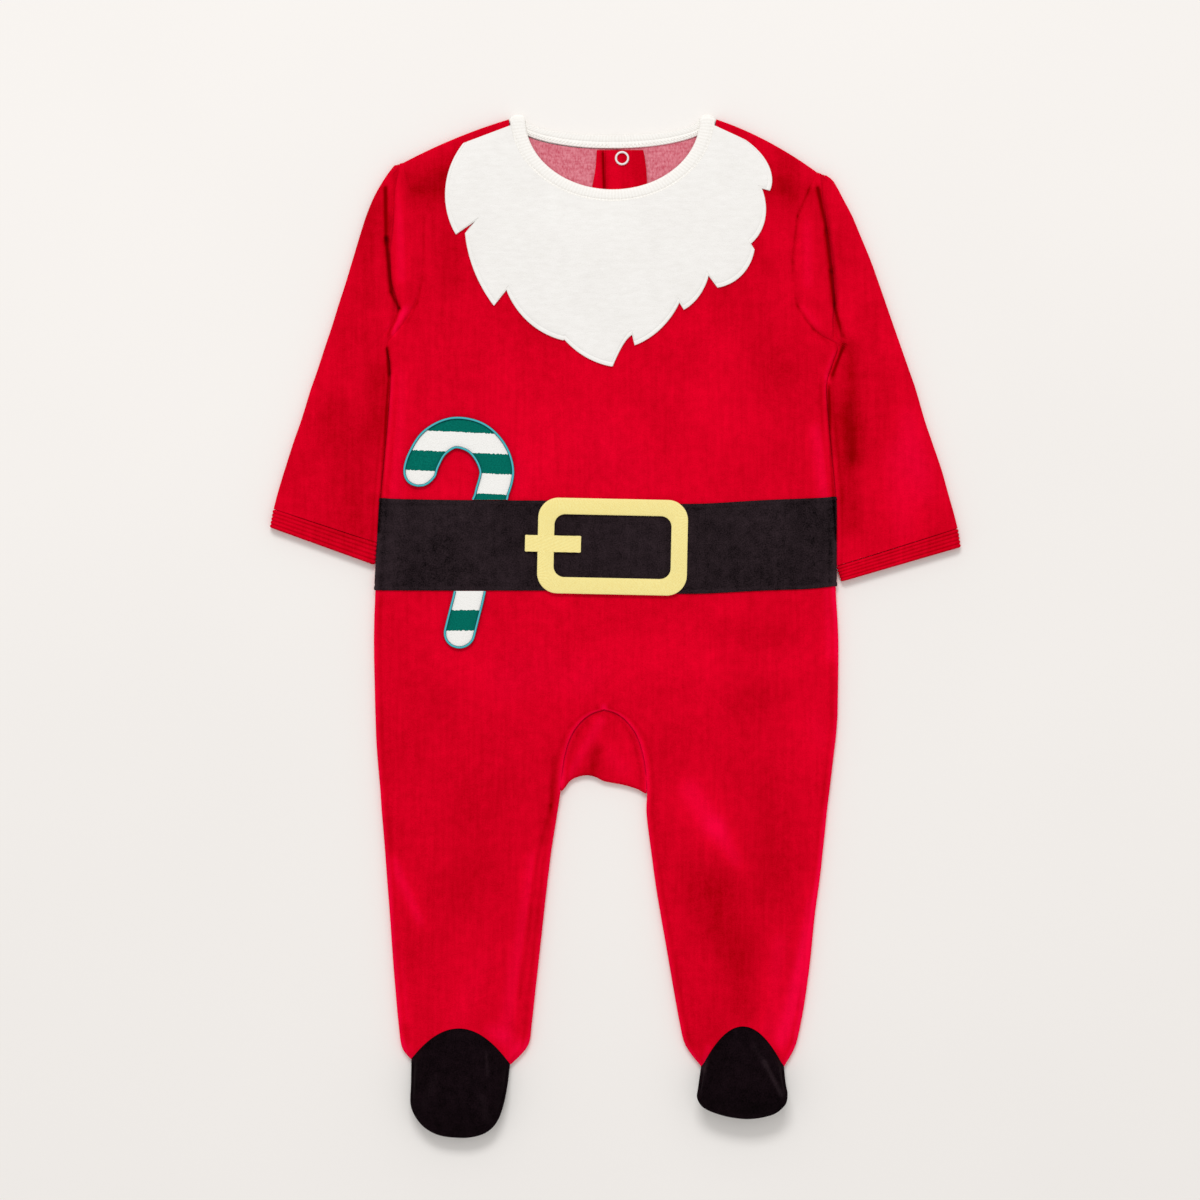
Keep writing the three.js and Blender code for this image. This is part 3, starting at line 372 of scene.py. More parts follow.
def piece(name, cloth, finishes, stands_for=()):
    """Mesh of the sewn cloth, in metres, with the cut as its UV map and the painted light and shade on its points,
    with painted shade in grooves, darker by the groove shade for each millimetre that a groove is deep."""
    mesh = bpy.data.meshes.new(name)
    mesh.from_pydata((cloth["points"] * mm).tolist(), [], cloth["faces"].tolist())
    mesh.uv_layers.new(name="cut").uv.foreach_set("vector", (cloth["cut"] * mm).astype(np.float32).ravel())
    # The painted light and shade, kept on the points for the finish to read
    tone = mesh.attributes.new("painted_light_and_shade", "FLOAT", "POINT")
    groove = cloth["lift"].max() - cloth["lift"]
    tone.data.foreach_set("value", (painted_light_and_shade(cloth["points"]) - painted_groove_shade * groove).astype(np.float32))
    mesh.polygons.foreach_set("use_smooth", np.ones(len(mesh.polygons), bool))
    for finish in finishes:
        mesh.materials.append(finish)
    if len(finishes) > 1:
        mesh.polygons.foreach_set("material_index", cloth["side"].astype(np.int32))
    mesh.set_sharp_from_angle(angle=crisp_angle)
    mesh.update()
    made = bpy.data.objects.new(name, mesh)
    bpy.context.scene.collection.objects.link(made)
    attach(made, "root")
    if stands_for:
        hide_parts(*stands_for)
    print(f"{name}: {len(mesh.polygons)} faces, cloth {cloth['area']:.5f} m2")
    return made


# %% [markdown]
# ## Finishes
# A finish is a small graph of nodes. `node` adds one: a word in small letters is a setting, a word with a
# capital is a socket, and a value that comes out of another node is linked instead of set.

# %% A short way to write nodes
def linear(red, green, blue):
    """A screen colour, 0 to 255, as the light it stands for: the sRGB curve undone, then full opacity."""
    c = np.array([red, green, blue]) / 255
    return (*np.where(c > 0.04045, ((c + 0.055) / 1.055) ** 2.4, c / 12.92).tolist(), 1.0)


def fill(tree, pairs):
    """Each socket gets its value, or a link where the value comes out of another node."""
    for socket, value in pairs:
        if isinstance(value, bpy.types.NodeSocket):
            tree.links.new(value, socket)
        else:
            socket.default_value = value


def node(tree, kind, *inputs, give=0, **named):
    """One shader node. Plain inputs go to its sockets in order."""
    made = tree.nodes.new("ShaderNode" + kind)
    for key in [k for k in named if k[0].islower()]:
        setattr(made, key, named.pop(key))
    fill(tree, list(zip(made.inputs, inputs)) + [(made.inputs[k.replace("_", " ")], v) for k, v in named.items()])
    return made.outputs[give]


def two_tone(tree, tone, dark, light):
    """Colour from dark to light as the tone goes from 0 to 1. A Mix node keeps its colours in sockets 6 and 7."""
    mix = tree.nodes.new("ShaderNodeMix")
    mix.data_type = "RGBA"
    fill(tree, [(mix.inputs[0], tone), (mix.inputs[6], dark), (mix.inputs[7], light)])
    return mix.outputs[2]


def part_of(tree, vector, axis):
    """One coordinate of a vector: 0 is x and 1 is y."""
    return node(tree, "SeparateXYZ", vector, give=axis)


def summed(tree, parts):
    """Half, plus each value's distance from half times its weight."""
    total = 0.5 - 0.5 * sum(weight for _, weight in parts)
    for value, weight in parts:
        total = node(tree, "Math", value, weight, total, operation="MULTIPLY_ADD")
    return total


# %% [markdown]
# ### A named material
# What differs from one finish to another is a function that gives its colour and the height of its relief. The
# rest is the same for all: roughness, gloss, and the sheen of fibres that stand up.

# %% A named material
def finish_of(name, colour_of, roughness, sheen=0.0, tint=(1, 1, 1, 1), specular=0.2, bump=0.45, depth=0.6):
    """A named material. colour_of(tree, place) returns the colour and the height of its relief."""
    material = bpy.data.materials.new(name)
    material.use_nodes = True
    tree = material.node_tree
    shader = tree.nodes["Principled BSDF"]
    place = node(tree, "TexCoord", give="Object")
    colour, height = colour_of(tree, place)
    tree.links.new(colour, shader.inputs["Base Color"])
    relief = node(tree, "Bump", Strength=bump, Distance=depth * mm, Height=height)
    tree.links.new(relief, shader.inputs["Normal"])
    shader.inputs["Roughness"].default_value = roughness
    shader.inputs["Specular IOR Level"].default_value = specular
    shader.inputs["Sheen Weight"].default_value = sheen
    shader.inputs["Sheen Roughness"].default_value = 0.4
    shader.inputs["Sheen Tint"].default_value = tint
    return material


# %% [markdown]
# ## Velour
# Three scales make velour: patches a few centimetres wide where the pile leans, knitted wales a millimetre or
# two apart that run up the cloth, and the hairs themselves. The painted light and shade on the mesh is added to
# them: the highest marks take a pinker painted sheen colour, and the lowest a painted fold shade. Hairs catch light
# at a grazing angle, which is what the shader's sheen is for. The reverse of the cloth is plain knit, and the
# ground thread shows through as pink.

# %% Velour and its reverse
def pile_cloth(dark, light, painted_sheen_colour, patch=0.45, mottle=0.35, wale=0.3, hair=0.55):
    """Tone = patches + mottling + wales + hairs + the painted light and shade of the marks; colour runs from dark
    to light with it. Where the marks are above 0.14 the light end turns to a painted sheen colour. Where they are
    below
    -0.6 the colour falls towards a fifth of the dark one, painted shade deep in a fold."""
    # Painted shade: the colour deep in a fold, a fifth of the dark end
    fold_shade_colour = (*(0.2 * np.array(dark[:3])).tolist(), 1.0)

    def colour_of(tree, place):
        """Wales are noise drawn out along the cloth; the relief has no patches, because they are a lean only."""
        patches = node(tree, "TexNoise", Vector=place, Scale=24, Detail=3)
        mottling = node(tree, "TexNoise", Vector=place, Scale=190, Detail=4)
        along = node(tree, "Mapping", place, Scale=(1, 0.07, 1))
        streaks = node(tree, "TexNoise", Vector=along, Scale=480, Detail=2)
        hairs = node(tree, "TexNoise", Vector=place, Scale=1500, Detail=2)
        # The painted light and shade kept on the mesh
        marks = node(tree, "Attribute", attribute_name="painted_light_and_shade", give="Fac")
        tone = summed(tree, [(patches, patch), (mottling, mottle), (streaks, wale), (hairs, hair)])
        tone = node(tree, "Math", marks, 0.55, tone, operation="MULTIPLY_ADD", use_clamp=True)
        height = summed(tree, [(mottling, 0.5), (streaks, 0.4), (hairs, 0.8)])
        # Painted shade where the marks are below -0.6
        painted_fold_shade = node(tree, "Math", marks, -1.0, -0.6, operation="MULTIPLY_ADD", use_clamp=True)
        # Painted sheen where the marks are above 0.14
        painted_sheen_share = node(tree, "Math", marks, 1.8, -0.25, operation="MULTIPLY_ADD", use_clamp=True)
        lit = two_tone(tree, painted_sheen_share, light, painted_sheen_colour)
        return two_tone(tree, painted_fold_shade, two_tone(tree, tone, dark, lit), fold_shade_colour), height

    return colour_of


# The third red is a painted sheen: the pinker colour the light end takes where the painted highlights are strongest
deep_red, bright_red, painted_sheen_red = linear(160, 0, 5), linear(252, 3, 46), linear(250, 5, 60)
red_velour = finish_of("velour_red", pile_cloth(deep_red, bright_red, painted_sheen_red), 0.95,
                       sheen=0.3, tint=linear(255, 20, 70), specular=0.0)
# The belt's light black is also its painted sheen colour
black, light_black_and_sheen, grey_tint = linear(0, 0, 0), linear(54, 42, 47), linear(150, 120, 130)
belt_pile = pile_cloth(black, light_black_and_sheen, light_black_and_sheen, patch=0.5, mottle=0.6, wale=0.2, hair=1.4)
black_velour = finish_of("velour_black", belt_pile, 0.9, sheen=0.05, tint=grey_tint, specular=0.02)
# The foot's third colour is its painted sheen
foot_pile = pile_cloth(black, linear(26, 15, 20), linear(36, 26, 30), patch=0.4, mottle=0.8, wale=0.2, hair=1.6)
foot_velour = finish_of("velour_black_foot", foot_pile, 0.9, sheen=0.05, tint=grey_tint, specular=0.02)


def knit_reverse(tree, place):
    """Loops: fine streaks up the cloth and a grain across it; the red pile shows between pink loops."""
    loops = node(tree, "TexNoise", Vector=node(tree, "Mapping", place, Scale=(1, 0.5, 1)), Scale=1100, Detail=3)
    rows = node(tree, "TexNoise", Vector=node(tree, "Mapping", place, Scale=(0.15, 1, 1)), Scale=900, Detail=1)
    tone = summed(tree, [(loops, 1.3), (rows, 0.5)])
    return two_tone(tree, tone, linear(184, 52, 76), linear(236, 154, 166)), loops


pink_reverse = finish_of("velour_reverse", knit_reverse, 0.9, sheen=0.1)
print("velour, black velour and the pink reverse are ready")

# %% [markdown]
# ## How high the front lies
# Air and the back of the suit hold the front up a little, most in the middle and not at all at a seam. Soft
# creases run over it. It is a function of the place on the page, so that the beard, the belt and the cane can
# ask the same function how high to lie.

# %% Height of the front
creases = np.array([
    # x1, y1, x2, y2, wide, high
    [-112, 165, -60, 120, 12, 0.5], [104, 158, 84, 96, 14, 0.7], [82, 150, 52, 96, 9, -0.4],
    [60, -20, 118, -60, 16, 0.5], [40, -95, 70, -165, 13, -0.4], [112, -130, 96, -235, 9, 0.6],
    [-128, -150, -110, -205, 9, 0.6], [-54, -90, -64, -205, 9, -0.4], [-100, -30, -40, -60, 14, 0.4],
    [-40, -100, -48, -200, 3.0, -0.35], [26, -120, 36, -200, 3.0, -0.3], [-120, -70, -80, -110, 9, 0.35],
    [120, 30, 96, -30, 10, 0.35], [-122, 20, -100, -40, 10, 0.3], [20, -110, 60, -150, 5, 0.4],
    [88, -60, 112, -120, 8, -0.3], [-70, -120, -90, -190, 9, 0.3], [-112, -190, -96, -240, 6, 0.45],
    [90, -190, 78, -245, 7, 0.4], [-80, 190, -40, 140, 10, 0.3], [60, 180, 96, 200, 9, 0.35],
])


front_air, full_reach, ankle_y = 1.5, 75, -256
groove_wide, groove_deep = 1.3, 0.35


def full_at(inward):
    """Rises from 0 at the seam to 1 at full_reach: one minus the cube of the share still to go."""
    return 1 - (1 - np.clip(inward / full_reach, 0, 1)) ** 3


def front_height(x, y):
    """Level of the front's middle + (air + creases) x fullness from each side, the leg, the neck, the
    shoulder and the ankle. A seam inside the left leg is a narrow groove."""
    from_left, from_right = x - np.interp(y, *side_line(-1)), np.interp(y, *side_line(1)) - x
    from_leg = np.where(x < -7, np.interp(y, *inside_line(-1)) - x, x - np.interp(y, *inside_line(1)))
    inside = lerp(90, from_leg, ease((-50 - y) / 60))
    neck = (np.hypot((x - neck_x) / neck_seam["across"], (y - neck_y) / neck_seam["front"]) - 1) * 50
    full = full_at(from_left - 2) * full_at(from_right - 2) * full_at(inside - 2)
    full *= full_at(neck) * full_at(y - ankle_y)
    for side in (-1, 1):
        start = np.array([neck_x + side * neck_seam["across"], neck_y])
        run = halves[side]["shoulder"] - start
        below = side * (run[1] * (x - start[0]) - run[0] * (y - start[1])) / np.hypot(*run)
        full *= np.where(side * (x - neck_x) > 0, full_at(2 * below - 4), 1)
    groove = along_lines(x, y, np.column_stack([leg_seam, np.full(3, groove_wide), np.full(3, -groove_deep)]))
    return front_level + (front_air + along_lines(x, y, creases)) * full + groove


sample = front_height(np.array([0.0, -60.0]), np.array([100.0, 100.0]))
print("front stands", sample.round(2), "mm above the table at two places on the belly")

# %% [markdown]
# ## Front and backs
# A row of the body is a straight line from its inner to its outer end. Where its fold is 1, the last
# millimetres roll down a quarter turn until the edge meets the other layer at the side seam. The front is one
# panel sewn from its two halves along the centre line. The backs are two panels, because the suit opens down
# the back of the neck, and their pink reverse faces up inside the neck.

# %% Rows that roll under at their ends
sink_depth, sink_reach = 0.5, 1.3


def reach_of(fold):
    """How far the outer face stands out past the end of the flat part when the cloth has turned by fold."""
    return (fold_radius + velour_wall / 2) * np.sin(np.clip(fold, 0, 1) * fold_turn)


def rolled(fold, steps=6):
    """Distance out = radius x sin(turn) and drop = radius x (1 - cos(turn)) at each step of a fold."""
    turn = np.clip(fold, 0, 1)[:, None] * fold_turn * np.arange(1, steps + 1) / steps
    return fold_radius * np.sin(turn), fold_radius * (1 - np.cos(turn))


def sunk(distance):
    """A flat seam pulls both cloths down: depth x exp(-distance from the seam / reach)."""
    return sink_depth * np.exp(-np.maximum(distance, 0) / sink_reach)


def line_between(inner, outer):
    """Length of each row, and its direction."""
    length = np.linalg.norm(outer - inner, axis=1)[:, None]
    return length, (outer - inner) / length


def body_rows(inner, outer, side, leg, bow, columns):
    """Points inner + direction x distance, lifted by bow x (1 - (2 share - 1)^2), with their drop. Where an
    end has no fold it is a flat seam, and the cloth sinks towards it."""
    length, across = line_between(inner, outer)
    leg_out, leg_drop = rolled(leg)
    side_out, side_drop = rolled(side)
    start, end = reach_of(leg)[:, None], length - reach_of(side)[:, None]
    even = np.linspace(0, 1, columns + 1)
    flat = lerp(start, end, lerp(even, 0.5 - 0.5 * np.cos(np.pi * even), 0.6))
    at = np.hstack([start - leg_out[:, ::-1], flat, end + side_out])
    drop = np.hstack([leg_drop[:, ::-1], np.zeros_like(flat), side_drop])
    seam = (1 - np.clip(side, 0, 1))[:, None] * sunk(length - at)
    seam += (1 - np.clip(leg, 0, 1))[:, None] * sunk(at) * (inner[:, 1:2] < -49) * (outer[:, 1:2] < -53)
    drop = drop + seam
    place = inner[:, None] + across[:, None] * at[..., None]
    place[..., 1] += bow[:, None] * (1 - (2 * at / length - 1) ** 2)
    return place, drop


# %% [markdown]
# ### Half of a body
# A half has three sets of rows: those that roll over the shoulder, those from the neck to the armhole, and those
# of the outline below it. Front and backs both come from this function, so their edges meet.

# %% Half of a body
def body_half(side, up, outline, depth, centre, height, columns, steps):
    """Shoulder rows, then rows from the neck to the armhole, then the rows of the outline."""
    half = halves[side]
    neck_point = np.array([neck_x + side * neck_seam["across"], neck_y])
    run = (half["shoulder"] - neck_point) / np.linalg.norm(half["shoulder"] - neck_point)
    into = np.array([run[1] * side, -abs(run[0])])
    out, drop = rolled(np.ones(1))
    inset = reach_of(1) - out[0][::-1]
    inner = neck_point + np.outer(inset, [0, -abs(run[0])])
    outer = half["shoulder"] + np.outer(inset, into)
    nothing = np.zeros(len(inset))
    shoulder, seam = body_rows(inner, outer, nothing, nothing, nothing + half["crown"], columns)
    level = front_level if up > 0 else back_level
    shoulder = np.dstack([shoulder, level - up * drop[0][::-1][:, None] - np.maximum(up, 0) * seam])
    first = np.degrees(np.arcsin(abs(run[0]) * reach_of(1) / depth))
    marks = np.column_stack([[first, *neck_turns], np.vstack([half["shoulder"] + into * reach_of(1),
                                                             half["armhole"]])])
    marks = sampled(marks, steps)[:-1]
    turn = np.radians(marks[:, 0])
    inner = np.column_stack([centre + (neck_point[0] - centre) * np.cos(turn), neck_y - depth * np.sin(turn)])
    rows = np.vstack([sampled(outline[: arch_row + 1], steps), sampled(outline[arch_row:], steps)[1:]])
    inner, outer = np.vstack([inner, rows[:, :2]]), np.vstack([marks[:, 1:], rows[:, 2:4]])
    folds = np.vstack([np.zeros((len(marks), 3)), rows[:, 4:7]])
    folds[: len(marks), 2] = half["crown"] * (1 - ease(np.linspace(0, 1.5, len(marks))))
    place, drop = body_rows(inner, outer, folds[:, 0], folds[:, 1], folds[:, 2], columns)
    folded = np.maximum(folds[:, 0], folds[:, 1])[:, None] > 0
    z = height(place[..., 0], place[..., 1]) - np.where((up > 0) | folded, up * drop, 0)
    grid = np.concatenate([shoulder, np.dstack([place, z])])
    return grid[:, ::-1] if side < 0 else grid


# %% [markdown]
# ### The front
# The front is one panel. Its two halves share the points of the centre line, and `sew` makes them one there.

# %% The front
front_columns, front_steps = 64, 6
front_grids = [
    body_half(side, 1, halves[side]["outline"], neck_seam["front"], neck_x, front_height, front_columns,
              front_steps)
    for side in (-1, 1)
]
suit_front = piece("suit_front", sew(front_grids, velour_wall, bulge=0.18), [red_velour], ["front"])

# %% [markdown]
# ### The two backs
# The backs are cut from the same outline, but their inner edge is straight down the centre and they lie flat on the
# table. Their neck is cut higher. Each has two finishes: pink reverse on the side that faces up, red pile below.

# %% The two backs
back_neck, fifth_row_y, opening_half = neck_seam["back"] - 0.5, 199, 0.1
back_columns, back_steps = 20, 4


def flat_back(x, y):
    """The middle of a cloth that lies on the table."""
    return back_level + 0 * x


back_grids = {}
for side, name in ((-1, "back_left"), (1, "back_right")):
    rows = halves[side]["outline"].copy()
    opening = centre_back + side * opening_half
    rows[: arch_row + 1, 0] = opening
    rows[:5, 1] = lerp(neck_y - back_neck, fifth_row_y, np.arange(5) / 4)
    back_grids[side] = body_half(side, -1, rows, back_neck, opening, flat_back, back_columns, back_steps)
    cloth = sew([back_grids[side]], velour_wall)
    piece("suit_" + name, cloth, [pink_reverse, red_velour], [name])

# %% [markdown]
# ## Gusset
# A baby's suit has a shaped piece between the legs, for a nappy. It fills the arch on the front, turns under
# at the crotch and fills the same arch on the back. Each of its columns starts at the front seam, runs down to
# the fold, goes round it and comes back to the back seam. Soft ridges from its gathering lie across it.

# %% The gusset
arch_foot, seam_gap, gusset_puff = 19, 0.4, 0.9
arch_ends = sampled(np.vstack([left_outline[arch_row:arch_foot, :2][::-1],
                               right_outline[arch_row + 1:arch_foot, :2]]), 5)
along_arch = np.linspace(0, 1, len(arch_ends))
crotch_marks = np.array([-99.5, -93.3, -90.7, -89.8, -90.7, -93.2, -94.3, -95.2, -96.5, -98.2, -100.8])
crotch_y = through(crotch_marks[:, None], along_arch * 10)[:, 0] + fold_radius + velour_wall / 2
crotch_left, crotch_right = -32.75, 18.6
crotch_x = lerp(crotch_left, crotch_right, along_arch)
gusset_middle = np.array([-7, -96])
arch_seam = arch_ends + unit(gusset_middle - arch_ends) * seam_gap
gusset_creases = np.array([
    [-29.7, -93, -9.3, -57, 3.5, 0.9], [-14, -91, -11, -74, 3, -1.0], [2, -92, 8, -66, 3.5, 0.5],
    [-24, -93, -20, -72, 2.5, -0.5], [10, -93, 12, -80, 2, -0.4], [-4, -88, 0, -62, 3, 0.4],
])
down = np.linspace(0, 1, 25)[:, None]
x, y = lerp(arch_seam[:, 0], crotch_x, down), lerp(arch_seam[:, 1], crotch_y, down)
dome = np.sin(np.pi * down) * np.sin(np.pi * along_arch)
rise = gusset_puff * dome + along_lines(x, y, gusset_creases) * np.maximum(dome, 0) ** 0.5
rise = rise - sunk(down * np.hypot(arch_seam[:, 0] - crotch_x, arch_seam[:, 1] - crotch_y))
front_part = np.dstack([x, y, front_level + rise])
turn = np.linspace(0, np.pi, 13)[1:, None]
fold_part = grid_of(crotch_x, crotch_y - fold_radius * np.sin(turn), seam_level + fold_radius * np.cos(turn))
up_again = np.linspace(0, 1, 9)[1:, None]
back_part = grid_of(lerp(crotch_x, arch_seam[:, 0], up_again), lerp(crotch_y, arch_seam[:, 1], up_again),
                    back_level)
gusset_grid = np.concatenate([front_part, fold_part, back_part])
suit_gusset = piece("suit_gusset", sew([gusset_grid], velour_wall, bulge=0.12), [red_velour],
                    ["gusset"])

# %% [markdown]
# ## Sleeves
# A sleeve is a tube laid flat: a front layer, a half turn at its outer edge, and a back layer. Next to the
# armhole there is more cloth than the shoulder needs, and it falls over the rest of the sleeve as a soft lobe
# with a steep edge. The table gives the width of that lobe from row to row.

# %% Tables of the sleeves
# inner x, inner y, outer x, outer y, width of the lobe, fold at the underarm
sleeve_tables = {
    "left": np.array([
        [-127.2, 277.1, -132.8, 274.9, 3, 0], [-125.1, 269, -137.1, 269.7, 8, 0],
        [-121.5, 257, -143.7, 258.9, 15, 0], [-117.5, 245, -148.5, 248, 19.5, 0],
        [-115.7, 232, -152.5, 236, 19.5, 0], [-115.5, 219, -157.5, 219.3, 18.5, 0],
        [-116.8, 206, -161.8, 205, 16.5, 0], [-119.9, 194, -166, 192, 10, 0],
        [-125.3, 184, -170, 179, 6, 0], [-131.8, 175.5, -174, 167, 3, 0],
        [-137.5, 168, -178.5, 153, 0, 0.5], [-136.1, 157, -183, 140, 0, 1],
        [-135.9, 144, -188.1, 123.3, 0, 1], [-137.2, 124, -193, 109.5, 0, 1],
        [-139.2, 102, -198, 94, 0, 1], [-141.6, 76.2, -202.3, 80, 0, 1],
        [-143.2, 49.5, -204.9, 70, 0, 1],
    ]),
    "right": np.array([
        [121.3, 271.1, 127, 268.6, 3, 0], [118, 265, 131, 265.5, 6, 0],
        [113.5, 254.5, 137, 254.5, 10, 0], [109.8, 243, 142, 245, 16, 0],
        [107.7, 231, 147, 233, 19.5, 0], [106.6, 218, 152.7, 219.3, 21.5, 0],
        [106.6, 205, 157.5, 206, 23, 0], [108.9, 193, 162, 193, 21, 0],
        [114.3, 182.5, 166.5, 180, 15, 0], [123.3, 174.3, 170.5, 168.5, 7, 0],
        [133.7, 167.8, 175.5, 154, 0, 0.5], [130.7, 156.5, 180, 141, 0, 1],
        [127.3, 144, 185.1, 123.3, 0, 1], [128.5, 123, 190.5, 107.5, 0, 1],
        [130.6, 100, 195.5, 93, 0, 1], [132.6, 77, 200, 77, 0, 1],
        [132.8, 52, 203, 66.5, 0, 1], [133.4, 35.5, 205, 58.4, 0, 1],
    ]),
}
sleeve_creases = np.array([
    [-150, 120, -172, 150, 8, 0.4], [-165, 110, -160, 180, 6, 0.3], [146, 120, 168, 150, 8, 0.4],
    [150, 175, 165, 120, 7, 0.35], [-150, 60, -190, 84, 8, 0.3], [145, 50, 190, 76, 8, 0.3],
])
cap_top, sleeve_puff, fold_small, sleeve_gap = 6.0, 0.8, 0.9, 0.03

# %% [markdown]
# ### The lobe and the sleeve
# `cap_fold` is the section of the lobe, like an S lying on its side. `sleeve_grid` mixes it with a level section,
# row by row, and closes the tube.

# %% The sleeves
def cap_fold(start, edge):
    """The lobe's section: a quarter sine up to its top, a half turn at its edge, back under itself, a half turn
    the other way, and out over the sleeve, rising by an eased step. Returns distances and levels."""
    up = np.linspace(0, 1, 13)
    turn = np.linspace(0, np.pi, 9)[1:]
    tuck, low = edge - fold_small - 2.8, cap_top - 4 * fold_small
    top = lerp(start, edge - fold_small, up)
    lobe = lerp(front_level, cap_top, np.sin(np.pi / 2 * np.clip(up / 0.7, 0, 1)))
    back = lerp(edge - fold_small, tuck, np.linspace(0, 1, 5)[1:])
    out = np.linspace(0, 1, 13)[1:]
    distance = np.hstack([top, edge - fold_small + fold_small * np.sin(turn), back,
                          tuck - fold_small * np.sin(turn), lerp(tuck, edge + 5, out)])
    flat = 0 * start
    level = np.hstack([lobe + flat, cap_top - fold_small + fold_small * np.cos(turn) + flat,
                       cap_top - 2 * fold_small + 0 * back,
                       cap_top - 3 * fold_small + fold_small * np.cos(turn) + flat,
                       lerp(low, front_level, ease((out - 0.4) / 0.6)) + flat])
    return distance, level


def sleeve_grid(rows):
    """Each row blends from a level section to the cap's fold by the width of its lobe. A puff lifts the middle,
    creases run over it, and then come the half turn at the outer edge and the flat back layer."""
    inner, outer, lobe, fold = rows[:, :2], rows[:, 2:4], rows[:, 4:5], rows[:, 5]
    length, across = line_between(inner, outer)
    start, end = reach_of(fold)[:, None], length - fold_radius - velour_wall / 2
    edge = start + np.minimum(np.maximum(lobe, 5), (end - start) / 2)
    folded_at, folded_level = cap_fold(start, edge)
    beyond = np.minimum(edge + 5, end - 0.6)
    level_at = lerp(start, beyond, np.linspace(0, 1, folded_at.shape[1]))
    share = ease(lobe / 11)
    at = np.hstack([lerp(level_at, np.minimum(folded_at, beyond), share),
                    lerp(beyond, end, np.linspace(0, 1, 19)[1:])])
    top = np.hstack([lerp(front_level, folded_level, share), np.full((len(rows), 18), front_level)])
    inward = np.minimum(at - start, end - at)
    place = inner[:, None] + across[:, None] * at[..., None]
    soft = sleeve_puff * ease(inward / 16)
    soft += along_lines(place[..., 0], place[..., 1], sleeve_creases) * ease(inward / 12)
    top += soft * (1 - share * (at < edge + 3))
    top -= (1 - fold)[:, None] * sunk(at - start) + 0.9 * fold[:, None] * np.exp(-(at - start) / 6)
    out, drop = rolled(fold)
    turn = np.linspace(0, np.pi, 13)[1:]
    under = lerp(end, start, np.linspace(0, 1, 9)[1:])
    distance = np.hstack([start - out[:, ::-1], at, end + fold_radius * np.sin(turn), under, start - out])
    level = np.hstack([top[:, :1] - drop[:, ::-1], top, seam_level + fold_radius * np.cos(turn) + 0 * start,
                       0 * under + back_level, back_level + drop])
    place = inner[:, None] + across[:, None] * distance[..., None]
    return np.dstack([place, level])


for side, table in sleeve_tables.items():
    rows = sampled(table, 6)
    way = -1 if side == "left" else 1
    body_edge = np.interp(rows[:, 1], *side_line(way)) + way * sleeve_gap
    rows[:, 0] = lerp(rows[:, 0], body_edge, np.clip(2 * rows[:, 5], 0, 1))
    grid = sleeve_grid(rows)
    grid = grid[:, ::-1] if side == "left" else grid
    piece(f"sleeve_of_{side}", sew([grid], velour_wall, bulge=0.12), [red_velour],
                          [f"sleeve_{side}"])

# %% [markdown]
# ## Cuffs
# The cuff is a narrow band with rolled ribs. It is a ring of points swept from the sleeve's hem to its
# end, and the ribs are a half sine, repeated, on the outer face. They flatten where the cuff lies on the table.

# %% The cuffs
cuff_wall, rib_count, rib_height = 1.5, 5, 0.8
cuff_ends = {
    "left": ([-142.6, 49.3], [-205.3, 69.8], [-143.9, 36.2], [-207.2, 59]),
    "right": ([132.3, 35.2], [205.4, 58.2], [135, 26.3], [207, 47.2]),
}


def cuff_grid(hem_in, hem_out, end_in, end_out, rings=37):
    """Ring = flat top, half turn, flat underside, half turn; rib rise = height x |sin(ribs x pi t)|^0.6."""
    t = np.linspace(0, 1, rings)[:, None]
    inner, outer = lerp(np.array(hem_in), np.array(end_in), t), lerp(np.array(hem_out), np.array(end_out), t)
    length, across = line_between(inner, outer)
    reach = fold_radius + cuff_wall / 2 + rib_height
    start, end = reach + 0 * length, length - reach
    turn = np.linspace(0, np.pi, 13)[1:]
    top = lerp(start, end, np.linspace(0, 1, 25))
    under = lerp(end, start, np.linspace(0, 1, 13)[1:])
    distance = np.hstack([top, end + fold_radius * np.sin(turn), under, start - fold_radius * np.sin(turn)])
    level = np.hstack([0 * top + front_level, seam_level + fold_radius * np.cos(turn) + 0 * start,
                       0 * under + back_level, seam_level - fold_radius * np.cos(turn) + 0 * start])
    rise = rib_height * np.abs(np.sin(rib_count * np.pi * t)) ** 0.6 * ease((level - back_level) / fold_radius)
    place = inner[:, None] + across[:, None] * distance[..., None]
    return np.dstack([place, level]), rise


for side, ends in cuff_ends.items():
    grid, rise = cuff_grid(*ends)
    if side == "left":
        grid, rise = grid[:, ::-1], rise[:, ::-1]
    piece(f"cuff_of_{side}", sew([grid], cuff_wall, [rise], bulge=0.15), [red_velour],
                        [f"cuff_{side}"])

# %% [markdown]
# ## Feet
# Each foot is an upper and a sole with the same outline, sewn together round the toe and to the leg along an
# arch. The toes stand off the table because the stuffed shape can't lie flat. Columns run from the rim inward
# to the arch. Each starts with the roll at the rim and then swells.

# %% The feet
foot_tables = {
    "left": {
        "rim": [[-122.3, -257.9], [-122.5, -275], [-122.7, -285.3], [-120.3, -292.5], [-114.6, -299.7],
                [-105.9, -304.5], [-95, -306.1], [-85.5, -305.7], [-76.8, -302.7], [-70.5, -296.1],
                [-66.6, -285.3], [-64.5, -273.9], [-63, -261.4]],
        "leg": -1, "lift": 7, "depth": 42, "puff": 8,
    },
    "right": {
        "rim": [[51.7, -261.6], [49.3, -275.7], [48.6, -281.7], [51.9, -287.1], [59.1, -290.7], [68.7, -293.3],
                [79, -294.3], [88.4, -293.2], [95.6, -290.8], [101.2, -285.8], [102.7, -279.9],
                [101.6, -272.5], [100.8, -261.6]],
        "leg": 1, "lift": 12, "depth": 26, "puff": 8.5,
    },
}


